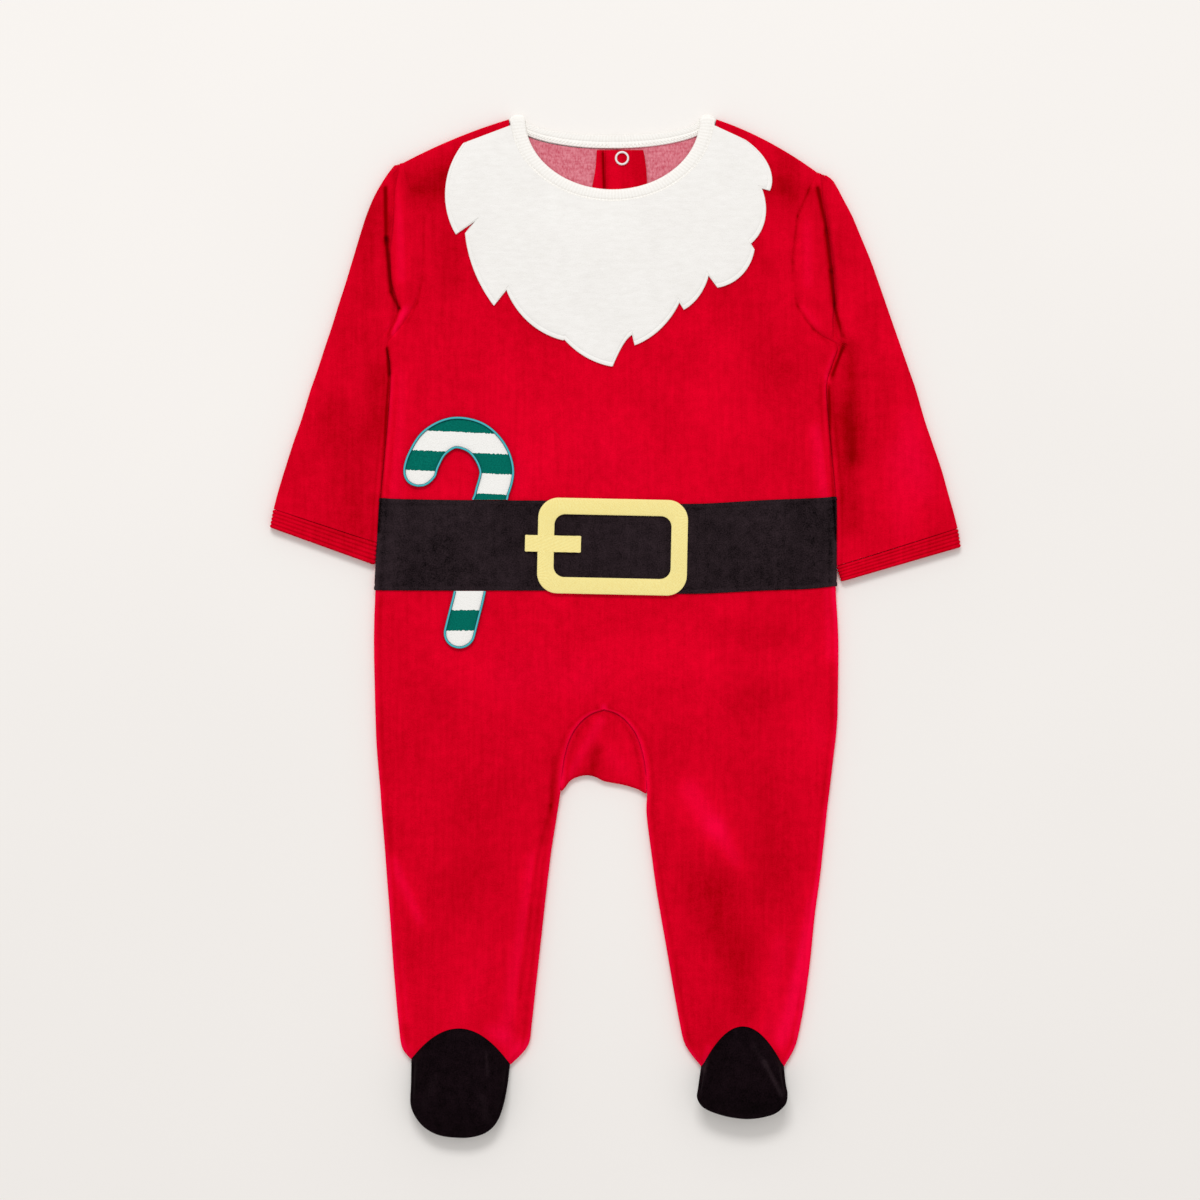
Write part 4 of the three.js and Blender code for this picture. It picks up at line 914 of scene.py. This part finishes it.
def foot_grid(foot, up, leg_grid):
    """Level = seam level + lift x ease(distance below the ankle / depth). Swell = puff x (1 - e^-4t) x
    (1 - ease((t - 0.4) / 0.6)), where t goes from the rim to the arch."""
    seam = leg_grid[-1]
    seam = seam[np.argsort(seam[:, 0])]
    slope = np.gradient(seam[:, 1], seam[:, 0] + np.arange(len(seam)) * 1e-6)

    def arch(x):
        """The ankle seam's y at x, 0.35 mm below the leg's cloth, measured square to the seam."""
        return np.interp(x, seam[:, 0], seam[:, 1] - 0.35 * np.hypot(1, np.clip(slope, -2, 2)))

    rim = sampled(foot["rim"], 6)
    inward = beside(rim)
    out, drop = rolled(np.ones(1))
    inset = np.append(reach_of(1) - out[0][::-1], reach_of(1))
    drop = np.append(drop[0][::-1], 0)
    roll = rim[:, None] + inward[:, None] * inset[:, None]
    roll[..., 1] = np.minimum(roll[..., 1], arch(roll[..., 0]))
    top_y = max(seam[0, 1], seam[-1, 1]) + 4

    def level(y):
        """Level of the foot's middle, rising from the ankle to the toes."""
        return seam_level + foot["lift"] * ease((top_y - y) / foot["depth"])

    roll_z = level(roll[..., 1]) + up * (fold_radius - drop)
    share = np.linspace(0.06, 0.94, len(rim))
    share[[0, -1]] = (roll[[0, -1], -1, 0] - seam[0, 0]) / (seam[-1, 0] - seam[0, 0])
    seam_x = lerp(seam[0, 0], seam[-1, 0], share)
    seam_y = arch(seam_x)
    flat = roll[:, -1]
    long = np.hypot(seam_x - flat[:, 0], seam_y - flat[:, 1])[:, None]
    t = np.linspace(0, 1, 21)[1:]
    x, y = lerp(flat[:, :1], seam_x[:, None], t), lerp(flat[:, 1:], seam_y[:, None], t)
    swell = foot["puff"] * (1 - np.exp(-4 * t)) * (1 - ease((t - 0.4) / 0.6)) * ease(long / 26)
    swell = swell + 0.5 * np.sin(x / 4.1 + y / 9) * np.sin(y / 5.3) * np.sin(np.pi * t) * ease(long / 26)
    under = np.minimum(fold_radius + swell * 0.3, level(y) - 0.8)
    z = level(y) + (fold_radius + swell if up > 0 else -under)
    return np.concatenate([np.dstack([roll, roll_z]), np.dstack([x, y, z])], axis=1)


for side, foot in foot_tables.items():
    leg = foot["leg"]
    for part, up, leg_grid in (("vamp", 1, front_grids[(leg + 1) // 2]), ("sole", -1, back_grids[leg])):
        cloth = sew([foot_grid(foot, up, leg_grid)], velour_wall, bulge=0.1)
        piece(f"foot_{part}_{side}", cloth, [foot_velour], [f"{part}_{side}"])

# %% [markdown]
# ## Neckband
# A doubled strip of white rib knit is sewn round the neck. It is one closed loop: it runs round the front, folds
# over at each side of the neck and comes back along the back of the neck, lower down on the table.

# %% The neckband
def knit_rib(tree, place):
    """Fine ribs across the band: waves along the cut, softened by a grain."""
    cut = node(tree, "UVMap", uv_map="cut")
    ribs = node(tree, "TexWave", Vector=cut, Scale=160, Distortion=0.6, Detail=2, give="Fac")
    grain = node(tree, "TexNoise", Vector=place, Scale=900, Detail=3)
    tone, height = summed(tree, [(ribs, 0.3), (grain, 0.8)]), summed(tree, [(ribs, 0.6), (grain, 0.5)])
    return two_tone(tree, tone, linear(236, 232, 226), linear(254, 253, 250)), height


white_knit = finish_of("knit_white", knit_rib, 0.85, sheen=0.15, bump=0.35, depth=0.3)
band_wall, band_inset = 2.4, 1.0
corner_bow, corner_reach = 1.8, 0.06
band_levels = {"front": band_wall / 2 + 2 * fold_radius, "back": band_wall / 2}


def band_rows(angle, strand, level, beyond):
    """Rows across the band: both half ellipses have the same angle, so a row joins their two points. Near the
    two folds a row bows by corner_bow x (distance from its middle / half width)^4, which rounds the corners."""
    t = np.linspace(1, 0, 13)
    wide = lerp(neck_edge["across"], neck_seam["across"] - band_inset, t)
    deep = lerp(neck_edge[strand], neck_seam[strand] - band_inset, t)
    angle, level, beyond = (np.atleast_1d(v)[:, None] for v in (angle, level, beyond))
    x = neck_x + wide * np.cos(angle)
    y = neck_y - deep * np.sin(angle) + beyond
    y = y - corner_bow * (2 * t - 1) ** 4 * np.exp(-((np.sin(angle) / corner_reach) ** 2))
    return grid_of(x, y, level)


strand = np.linspace(0, np.pi, 97)
bend = np.linspace(0, np.pi, 11)[1:-1]
low, high = band_levels["back"], band_levels["front"]
band_grid = np.concatenate([
    band_rows(np.pi - strand, "front", high, 0),
    band_rows(0 * bend, "front", lerp(high, low, (1 - np.cos(bend)) / 2), fold_radius * np.sin(bend)),
    band_rows(strand, "back", low, 0),
    band_rows(0 * bend + np.pi, "front", lerp(low, high, (1 - np.cos(bend)) / 2), fold_radius * np.sin(bend)),
    band_rows(np.pi, "front", high, 0),
])
# The side of the back strand that shows is the inside of the band, so its relief is in the middle surface
across_band = np.linspace(0, 1, 13)
on_back = np.append(np.zeros(97 + 9), np.append(ease(np.sin(strand) / 0.3), np.zeros(10)))[:, None]
stitch_line = np.exp(-(((across_band - 0.5) / 0.09) ** 2))
bar_tack = np.exp(-((band_grid[..., 0] / 2.4) ** 4))
band_grid[..., 2] += on_back * (0.35 * (1 - stitch_line) + 0.9 * bar_tack)
band_cut = grid_of(walked(band_grid[:, 6])[:, None], np.linspace(0, 9, 13))
band_rise = -0.55 * (1 - np.sin(np.pi * across_band) ** 0.5) - 0.35 * np.exp(-(((across_band - 0.17) / 0.05) ** 2))
neckband = piece("neckband", sew([band_grid], band_wall, [band_rise], bulge=0.4, flats=[band_cut]), [white_knit],
                 ["neck_binding"])

# %% [markdown]
# ## Back opening
# The back of the neck opens, so each edge has a red facing, right side up inside the suit, and a ring snap holds
# them. The facings are thin cloth with a stitched line beside the opening. The snap is a ring of white enamelled
# metal, a small domed profile turned once round.

# %% Facings and snap
facing_wall, facing_top, facing_foot = 1.0, 284.8, 216
facing_level = velour_wall + 0.2 + facing_wall / 2
facing_ends = {"left": ([-11.1, -19], centre_back - 0.15), "right": ([16.5, 24], centre_back + 0.15)}
for side, (outer_x, seam_x) in facing_ends.items():
    down = np.linspace(0, 1, 40)[:, None]
    share = np.linspace(0, 1, 15)
    edge = lerp(outer_x[0], outer_x[1], down) + 0.5 * np.sin(down * 11)
    x = lerp(edge, seam_x, share) if side == "left" else lerp(seam_x, edge, share)
    z = facing_level + 0.25 * np.exp(-(((x - seam_x) / 1.6) ** 2)) + 0.15 * np.sin(np.pi * share) * np.sin(down * 9)
    grid = grid_of(x, lerp(facing_top, facing_foot, down), z)
    piece(f"facing_{side}", sew([grid], facing_wall, bulge=0.2), [red_velour],
                          [f"placket_{side}"])


def enamel(tree, place):
    """White paint over metal, a little uneven from handling."""
    wear = node(tree, "TexNoise", Vector=place, Scale=700, Detail=3)
    return two_tone(tree, wear, linear(226, 226, 226), linear(250, 250, 250)), wear


white_enamel = finish_of("snap_white", enamel, 0.3, specular=0.5, bump=0.1, depth=0.1)
snap_x, snap_y, snap_wall = 3.9, 280, 0.6
around, section = np.linspace(0, 2 * np.pi, 65)[:, None], np.linspace(0, 1, 9)[::-1]
radius = lerp(3.1, 4.15, section)
snap_level = facing_level + facing_wall / 2 + 0.85
snap_grid = grid_of(snap_x + radius * np.cos(around), snap_y + radius * np.sin(around), snap_level)
snap_rise = 0.45 * np.sin(np.pi * section) + 0 * around
ring_snap = piece("ring_snap", sew([snap_grid], snap_wall, [snap_rise], bulge=0.12), [white_enamel],
                  ["snap"])

# %% [markdown]
# ## Pieces laid on the front
# The beard bib, the belt, the cane and the buckle are appliqués: cut cloth stitched on top of the front. `lay_on`
# sets a grid at the height of the front under it, so none of them floats or sinks.

# %% Laying a piece on the front
def lay_on(x, y, above):
    """Height = the front's middle + half its wall + the distance above it."""
    return np.dstack([x, y, front_height(x, y) + velour_wall / 2 + above])


def stitched(distance, at, deep):
    """A groove where a row of stitches pulls the cloth down: -deep x exp(-((distance - at) / 0.45)^2)."""
    return -deep * np.exp(-(((distance - at) / 0.45) ** 2))


# %% [markdown]
# ## Beard bib
# The bib is white brushed cotton, cut as a fringe of locks round the neck and topstitched near its edge. In
# polar form round the neck each lock is a short curve: it has a distance at its start, middle and end, and the
# next lock starts from a different distance, which makes the points.

# %% The beard bib
def brushed_cotton(tree, place):
    """Short strokes across the page, a grain of fibres, and faint clouds."""
    strokes = node(tree, "TexNoise", Vector=node(tree, "Mapping", place, Scale=(0.35, 1, 1)), Scale=420, Detail=3)
    fibres = node(tree, "TexNoise", Vector=place, Scale=1400, Detail=2)
    clouds = node(tree, "TexNoise", Vector=place, Scale=40, Detail=2)
    tone = summed(tree, [(strokes, 0.5), (fibres, 0.4), (clouds, 0.3)])
    height = summed(tree, [(strokes, 0.6), (fibres, 0.6)])
    return two_tone(tree, tone, linear(228, 225, 221), linear(252, 251, 249)), height


white_fleece = finish_of("fleece_white", brushed_cotton, 0.95, sheen=0.3, specular=0.1, bump=0.4, depth=0.5)
# from, to in degrees, distance at the start, the middle and the end
locks = np.array([
    [9.3, 36.4, 90.5, 108.5, 116.5], [36.7, 37.9, 102, 107.5, 111.7], [37.9, 57.6, 111.7, 123, 132.5],
    [58.2, 77.4, 120.5, 131.8, 135.8], [77.7, 89.8, 135.2, 143.6, 148.2], [90, 95.2, 148, 135.5, 129.8],
    [95.6, 110, 136.2, 129, 117], [110.5, 121.5, 122, 118, 110], [121.9, 137.3, 119, 121.3, 115.5],
    [137.9, 155, 111.5, 109.3, 98.5], [155.5, 171, 103.5, 97.5, 80.5],
])
beard_wall, beard_lift, under_band = 1.3, 0.15, 1.1
close_rows = np.array([0, 0.5, 1, 1.5, 2, 2.4, 2.8, 3.4])
angles, reaches = [], []
for start, end, near, middle, far in locks:
    t = np.linspace(0, 1, max(3, round((end - start) / 0.8)))
    angles.append(lerp(start, end, t))
    reaches.append(near * (1 - t) * (1 - 2 * t) + 4 * middle * t * (1 - t) + far * t * (2 * t - 1))
angle, reach = np.radians(np.concatenate(angles))[:, None], np.concatenate(reaches)[:, None]
at_neck = lerp(radians(4.5), radians(175.5), (angle - angle[0]) / (angle[-1] - angle[0]))
outer_x, outer_y = neck_x - reach * np.cos(angle), neck_y - reach * np.sin(angle)
inner_x = neck_x - (neck_seam["across"] - under_band) * np.cos(at_neck)
inner_y = neck_y - (neck_seam["front"] - under_band) * np.sin(at_neck)
column = np.hypot(outer_x - inner_x, outer_y - inner_y)
from_edge = np.hstack([close_rows + 0 * column, lerp(5, column, np.linspace(0, 1, 14))])
beard_grid = lay_on(lerp(outer_x, inner_x, from_edge / column), lerp(outer_y, inner_y, from_edge / column),
                    beard_lift + beard_wall / 2)
beard_rise = stitched(from_edge, 2.4, 0.35) - 0.25 * np.exp(-from_edge / 0.6)
beard = piece("beard_bib", sew([beard_grid], beard_wall, [beard_rise], bulge=0.2), [white_fleece],
              ["beard"])

# %% [markdown]
# ## Belt
# The belt is a band of black velour from side to side, caught in the side seams. Its ends follow the roll of the
# front a little way round, as the sewn cloth does, and a row of stitches near each edge leaves a low ridge.

# %% The belt
belt_wall, belt_lift = 0.9, 0.12
belt_rows = through(np.hstack([left_outline[:, 2:4], right_outline[:, 2:4]]), np.linspace(9, 11, 41))
down, share = np.linspace(0, 1, 41)[:, None], np.linspace(0, 1, 121)
left_end, right_end = belt_rows[:, :1] + reach_of(1), belt_rows[:, 2:3] - reach_of(1)
x = lerp(left_end, right_end, 0.5 - 0.5 * np.cos(np.pi * share))
y = lerp(belt_rows[:, 1:2], belt_rows[:, 3:4], share) - lerp(2.0, 0.6, down) * np.sin(np.pi * share)
y = y - 2.2 * np.exp(-(((x - 45) / 36) ** 2)) + 1.5 * down * np.exp(-(((x - 134) / 14) ** 2))
flat_part = lay_on(x, y, belt_lift + belt_wall / 2)
belt_radius = fold_radius + velour_wall / 2 + belt_lift + belt_wall / 2
turn = radians(66) * np.arange(1, 8) / 7
roll_out, roll_level = belt_radius * np.sin(turn), seam_level + belt_radius * np.cos(turn)
left_roll = grid_of(left_end - roll_out[::-1], y[:, :1], roll_level[::-1])
right_roll = grid_of(right_end + roll_out, y[:, -1:], roll_level)
belt_grid = np.concatenate([left_roll, flat_part, right_roll], axis=1)
belt_tall = 54.0
edge_distance = np.minimum(down, 1 - down) * belt_tall
belt_rise = stitched(edge_distance, 2.6, 0.25) + 0.25 * np.exp(-(((edge_distance - 1.4) / 0.7) ** 2))
belt_rise = np.broadcast_to(belt_rise, belt_grid.shape[:2])
belt = piece("belt_band", sew([belt_grid], belt_wall, [belt_rise], bulge=0.2), [black_velour],
             ["belt"])

# %% [markdown]
# ## Buckle
# The buckle is embroidery: a rounded frame and its tongue, filled with yellow thread. Two outlines with the same
# number of points in each part, one outside and one inside, bound a band. A row of the grid joins one point of
# each, and the band is domed, as thick stitching is.

# %% The buckle
def thread_fill(tree, place):
    """Rows of slanted stitches: two waves along the cut, broken by a fine noise."""
    cut = node(tree, "UVMap", uv_map="cut")
    slant = node(tree, "Mapping", cut, Rotation=(0, 0, radians(28)))
    rows = node(tree, "TexWave", Vector=slant, Scale=420, Distortion=1.2, Detail=2, give="Fac")
    pinholes = node(tree, "TexNoise", Vector=place, Scale=1500, Detail=2)
    tone = summed(tree, [(rows, 0.5), (pinholes, 0.9)])
    height = summed(tree, [(rows, 0.7), (pinholes, 0.3)])
    return two_tone(tree, tone, linear(240, 214, 122), linear(255, 246, 172)), height


yellow_thread = finish_of("embroidery_yellow", thread_fill, 0.5, sheen=0.2, specular=0.35, bump=0.5, depth=0.3)
buckle_place, buckle_turn = np.array([-1.8, 47.2]), radians(-1.2)
buckle_wide, buckle_tall, buckle_bar = 89.4, 57.0, 9.6
tongue_half, tongue_up, chamfer = 4.9, 1.0, 0.4


def frame_outline(wide, tall, radius, tip):
    """Half of the right side, two corners, the left side with the tongue in it, two corners, and back."""
    w, h = wide / 2 - radius, tall / 2 - radius

    def corner(cx, cy, start):
        """Quarter circle round (cx, cy), from the start angle in degrees."""
        turn = np.radians(np.linspace(start, start + 90, 13))
        return np.column_stack([cx + radius * np.cos(turn), cy + radius * np.sin(turn)])

    def run(*ends, steps):
        """Straight lines from end to end, each without its first point."""
        return np.vstack([lerp(np.array(a), np.array(b), np.linspace(0, 1, steps)[1:, None])
                          for a, b in zip(ends, ends[1:])])

    cut_corner = tip + (chamfer if tip < -wide / 2 else -chamfer)
    left = -wide / 2
    top, foot = tongue_up + tongue_half, tongue_up - tongue_half
    tongue = run((left, h), (left, top), (cut_corner, top), (tip, top - chamfer), (tip, foot + chamfer),
                 (cut_corner, foot), (left, foot), (left, -h), steps=9)
    return np.vstack([
        run((wide / 2, 0), (wide / 2, h), steps=12), corner(w, h, 0)[1:],
        run((w, tall / 2), (-w, tall / 2), steps=40), corner(-w, h, 90)[1:], tongue,
        corner(-w, -h, 180)[1:], run((-w, -tall / 2), (w, -tall / 2), steps=40),
        corner(w, -h, 270)[1:], run((wide / 2, -h), (wide / 2, 0), steps=12),
    ])


outside = frame_outline(buckle_wide, buckle_tall, 12, -52.3)
inside = frame_outline(buckle_wide - 2 * buckle_bar, buckle_tall - 2 * buckle_bar, 6.5, -19)
outside, inside = (np.vstack([line[-1:], line]) for line in (outside, inside))
share = np.array([0, 0.04, 0.1, 0.2, 0.35, 0.5, 0.65, 0.8, 0.9, 0.96, 1])
local = lerp(outside[:, None], inside[:, None], share[:, None])
cosine, sine = np.cos(buckle_turn), np.sin(buckle_turn)
turned = local @ np.array([[cosine, sine], [-sine, cosine]]) + buckle_place
buckle_wall, buckle_lift = 1.0, 0.35
buckle_grid = lay_on(turned[..., 0], turned[..., 1], belt_lift + belt_wall + buckle_lift + buckle_wall / 2)
buckle_rise = np.broadcast_to(0.35 * np.sin(np.pi * share) ** 0.4, buckle_grid.shape[:2])
buckle_cut = grid_of(walked(local[:, 5])[:, None], share * buckle_bar)
buckle = piece("buckle_patch", sew([buckle_grid], buckle_wall, [buckle_rise], bulge=0.15, flats=[buckle_cut]),
               [yellow_thread], ["buckle"])

# %% [markdown]
# ## Striped cane
# A cane of green and white plush shows above and below the belt, edged with a satin stitch of lighter green.
# It is a ribbon: its middle line comes from a few marks, and its half width shrinks to a round end. The stripes
# lie level on the page, so the finish reads them from Object coordinates.

# %% Stripes of the cane
cane_middle, spill = -95, 1.6


def stripes(lines, slope):
    """White where an odd number of the lines lie above the point, green where an even number do. Each line is
    y = height + slope x, with x measured from the middle of the cane and plush spilling over it."""

    def colour_of(tree, place):
        """One line after another is tested, and adds or takes away white. The pile's fuzz frays the lines."""
        fuzz = node(tree, "TexNoise", Vector=place, Scale=900, Detail=2)
        clouds = node(tree, "TexNoise", Vector=place, Scale=1300, Detail=2)
        across = node(tree, "Math", part_of(tree, place, 0), -cane_middle * mm, operation="ADD")
        level = node(tree, "Math", across, -slope, part_of(tree, place, 1), operation="MULTIPLY_ADD")
        level = node(tree, "Math", fuzz, spill * mm, level, operation="MULTIPLY_ADD")
        total = 0.0
        for k, line in enumerate(lines):
            below = node(tree, "Math", level, (line + spill / 2) * mm, operation="LESS_THAN")
            total = node(tree, "Math", below, -1.0 if k % 2 else 1.0, total, operation="MULTIPLY_ADD")
        green = two_tone(tree, clouds, linear(0, 74, 66), linear(10, 128, 112))
        white = two_tone(tree, clouds, linear(232, 230, 226), linear(253, 253, 251))
        return two_tone(tree, total, green, white), summed(tree, [(clouds, 0.8), (fuzz, 0.5)])

    return colour_of


plush = {}
for part, lines, slope in (("upper", [115.8, 103.8, 91.8, 79.7], -0.046), ("lower", [30, 9.3, -3], 0)):
    plush[part] = finish_of(f"plush_{part}", stripes(lines, slope), 0.95, sheen=0.1, specular=0, bump=0.5)


def satin(tree, place):
    """Stitches side by side across the edging, a wave along the cut, with a darker thread along both sides."""
    cut = node(tree, "UVMap", uv_map="cut")
    rows = node(tree, "TexWave", Vector=cut, Scale=500, Distortion=0.8, Detail=1, give="Fac")
    from_middle = node(tree, "Math", part_of(tree, cut, 1), operation="ABSOLUTE")
    at_side = node(tree, "Math", from_middle, 1 / (0.3 * mm), -1.1, operation="MULTIPLY_ADD", use_clamp=True)
    bright = two_tone(tree, rows, linear(20, 150, 164), linear(84, 208, 214))
    return two_tone(tree, at_side, bright, linear(6, 62, 84)), rows


green_satin = finish_of("satin_green", satin, 0.4, specular=0.4, bump=0.4, depth=0.2)
print("plush and satin are ready")

# %% [markdown]
# ### The cane's two pieces
# One cane runs behind the belt, so only its hook and its foot are made. Each is a ribbon with one round end. The
# other end is cut level, where it meets the belt.

# %% The cane above and below the belt
# x, y, whole width
cane_tables = {
    "upper": np.array([[-117.6, 83.6, 19], [-117.2, 91, 19], [-114.8, 99.2, 19], [-108.4, 109.3, 18.6],
                       [-96.9, 115.3, 17.6], [-84, 112.7, 18.6], [-75, 103.9, 19.5], [-71, 92, 19.5],
                       [-74, 79.2, 19], [-75.2, 75.3, 19]]),
    "lower": np.array([[-87.1, 20.6, 17.6], [-88.6, 14, 17.6], [-90.7, 6, 17.6], [-92.7, -2, 17.6],
                       [-94.2, -8, 17.6], [-95.3, -12.9, 17.6]]),
}
cane_wall, cane_lift = 1.2, 0.12


def ribbon(marks, closed_end):
    """Middle line, direction across it and half width; near the round end half width = sqrt(w^2/4 - (w/2 -
    s)^2). At the belt the direction across turns level, and is longer by 1 / its share of x, so the sides stay."""
    line = sampled(marks, 12)
    gone = walked(line[:, :2])
    s = gone if closed_end == "first" else gone[-1] - gone
    half = line[:, 2] / 2
    cap = np.clip(s, 0.02, half)
    across = beside(line[:, :2])
    level = 1 - ease((gone[-1] - s) / 13)[:, None]
    steep = np.where(np.abs(across[:, :1]) < 0.5, 1, across[:, :1])
    across = lerp(across, np.hstack([1 / steep, 0 * steep]), level)
    return line[:, :2], across, np.sqrt(half**2 - (half - cap) ** 2)


for part, closed_end in (("upper", "first"), ("lower", "last")):
    line, normal, half = ribbon(cane_tables[part], closed_end)
    spread = np.linspace(-1, 1, 17)
    place = line[:, None] + normal[:, None] * (np.maximum(half - 0.5, 0.05)[:, None] * spread)[..., None]
    grid = lay_on(place[..., 0], place[..., 1], cane_lift + cane_wall / 2)
    rise = np.broadcast_to(0.25 * (1 - spread**4), grid.shape[:2])
    cloth = sew([grid], cane_wall, [rise], bulge=0.1)
    piece(f"cane_plush_{part}", cloth, [plush[part]], [f"cane_{part}"])

# %% [markdown]
# ## Satin edging
# A narrow band of close stitches covers the cut edge of the cane. Its middle line is the ribbon's own outline,
# walked down one side, round the end and up the other, and its section is a low dome.

# %% Satin edging round the cane
edging_wide, edging_wall, edging_lift = 1.5, 0.5, 0.2


def edging(path, wide, wall, above):
    """Grid across a line on the page: offsets along its normal, laid on the front."""
    gone = walked(path)
    even = np.linspace(0, gone[-1], round(gone[-1] / 0.8))
    path = np.column_stack([np.interp(even, gone, path[:, k]) for k in (0, 1)])
    spread = np.linspace(-1, 1, 7)
    place = path[:, None] + beside(path)[:, None] * (spread * wide / 2)[:, None]
    grid = lay_on(place[..., 0], place[..., 1], above + wall / 2)
    rise = np.broadcast_to(0.35 * np.sqrt(1 - spread**2), grid.shape[:2])
    return sew([grid], wall, [rise], flats=[grid_of(even[:, None], spread * wide / 2)])


for part, closed_end in (("upper", "first"), ("lower", "last")):
    line, normal, half = ribbon(cane_tables[part], closed_end)
    sides = [line + normal * half[:, None], line - normal * half[:, None]]
    path = np.vstack([sides[0][::-1], sides[1][1:]] if closed_end == "first" else [sides[0], sides[1][::-1][1:]])
    cloth = edging(path, edging_wide, edging_wall, cane_lift + cane_wall + edging_lift)
    piece(f"cane_edging_{part}", cloth, [green_satin])

# %% [markdown]
# ## Stitches on the neckband
# The band is sewn on at the back with a zigzag. A tube of thread follows a line that swings from side to side:
# the centre moves along the seam and sideways by a triangle wave.

# %% Zigzag stitches
def thread(path, radius, level):
    """Tube round a line: centre + radius x (cos, sin) in the plane across the line."""
    path = np.column_stack([path, level])
    tangent = unit(np.gradient(path, axis=0))
    aside = unit(np.cross(tangent, [0, 0, 1]))
    above = np.cross(aside, tangent)
    turn = np.linspace(0, 2 * np.pi, 7)[:-1]
    ring = aside[:, None] * np.cos(turn)[:, None] + above[:, None] * np.sin(turn)[:, None]
    points = path[:, None] + radius * ring
    rows, sides = points.shape[:2]
    ids = np.arange(rows * sides).reshape(rows, sides)
    after = np.roll(ids, -1, axis=1)
    faces = np.stack([ids[:-1], ids[1:], after[1:], after[:-1]], -1).reshape(-1, 4)
    caps = np.array([[0, 1, 2, 3], [0, 3, 4, 5]])
    faces = np.vstack([faces, caps, (caps + ids[-1, 0])[:, ::-1]])
    flat = points.reshape(-1, 3)
    area = 2 * np.pi * radius * walked(path)[-1] * mm**2
    return {"points": flat, "faces": faces, "cut": flat[faces][..., :2], "lift": 0 * flat[:, 0], "area": area}


turns = 64
swing = np.arange(2 * turns + 1)
angle = np.radians(lerp(14, 166, swing / (2 * turns)))
share = np.where(swing % 2, 0.68, 0.93)
wide = lerp(neck_edge["across"], neck_seam["across"] - band_inset, share)
deep = lerp(neck_edge["back"], neck_seam["back"] - band_inset, share)
zigzag = np.column_stack([neck_x + wide * np.cos(angle), neck_y - deep * np.sin(angle)])
thread_radius, thread_above = 0.3, 0.4
zigzag_level = np.full(len(zigzag), band_wall + thread_above)
neck_stitches = piece("neck_stitches", thread(zigzag, thread_radius, zigzag_level), [white_knit])

# %% [markdown]
# ## Cloth areas
# Cloth doesn't stretch much, so the area of a piece is that of the shape itself. `sew` works it out from the grid
# it was made of, and each piece prints it as it is made.

# %% [markdown]
# ## Floor, light and camera
# The suit was pictured from straight above on a white table, with soft light that comes a little more from the
# top of the page. A pale sky lights everything and one large lamp gives the soft shadows below the cuffs and feet.

# %% The floor
def table_top(tree, place):
    """Nearly white, with the faintest clouding."""
    clouds = node(tree, "TexNoise", Vector=place, Scale=3, Detail=2)
    return two_tone(tree, clouds, linear(240, 237, 234), linear(247, 244, 241)), clouds


pale_table = finish_of("pale_table", table_top, 0.8, specular=0.1, bump=0.02, depth=0.05)
floor_mesh = bpy.data.meshes.new("floor")
floor_half = 3.0
floor_mesh.from_pydata([(-floor_half, -floor_half, 0), (floor_half, -floor_half, 0), (floor_half, floor_half, 0),
                        (-floor_half, floor_half, 0)], [], [(0, 1, 2, 3)])
floor_mesh.materials.append(pale_table)
floor = bpy.data.objects.new("floor", floor_mesh)
bpy.context.scene.collection.objects.link(floor)

# %% [markdown]
# ### Light
# The sky is pale and slightly warm. The lamp is a large soft window, high up towards the top of the page, aimed at
# the middle of the suit.

# %% Light
sky_colour, sky_strength = (1.0, 0.985, 0.97, 1), 0.7
lamp_place, lamp_aim = (-0.3, 2.6, 2.9), Vector((0, 0.02, 0))
world = bpy.data.worlds.new("pale_room")
world.use_nodes = True
world.node_tree.nodes["Background"].inputs["Color"].default_value = sky_colour
world.node_tree.nodes["Background"].inputs["Strength"].default_value = sky_strength
bpy.context.scene.world = world
lamp = bpy.data.lights.new("window", "AREA")
lamp.shape, lamp.size, lamp.size_y, lamp.energy = "RECTANGLE", 1.8, 1.0, 62
lamp_object = bpy.data.objects.new("window", lamp)
lamp_object.location = lamp_place
lamp_object.rotation_euler = (lamp_aim - lamp_object.location).to_track_quat("-Z", "Y").to_euler()
bpy.context.scene.collection.objects.link(lamp_object)
bpy.context.scene.view_settings.view_transform = "Standard"

# %% [markdown]
# ### Camera
# The camera hangs over the middle of the picture and looks straight down. Its lens = sensor width x height / width
# of the framed part of the table, so that the suit is as large in the picture as in the photo.

# %% Camera
camera = bpy.data.cameras.new("above")
camera_height, framed_width = 2.4, 0.72
camera_x, camera_y = -0.0093, 0.0153
camera.lens = camera.sensor_width * camera_height / framed_width
camera_object = bpy.data.objects.new("above", camera)
camera_object.location = (camera_x, camera_y, camera_height)
bpy.context.scene.collection.objects.link(camera_object)
bpy.context.scene.camera = camera_object
print("camera looks straight down from", camera_height, "m with a", round(camera.lens), "mm lens")
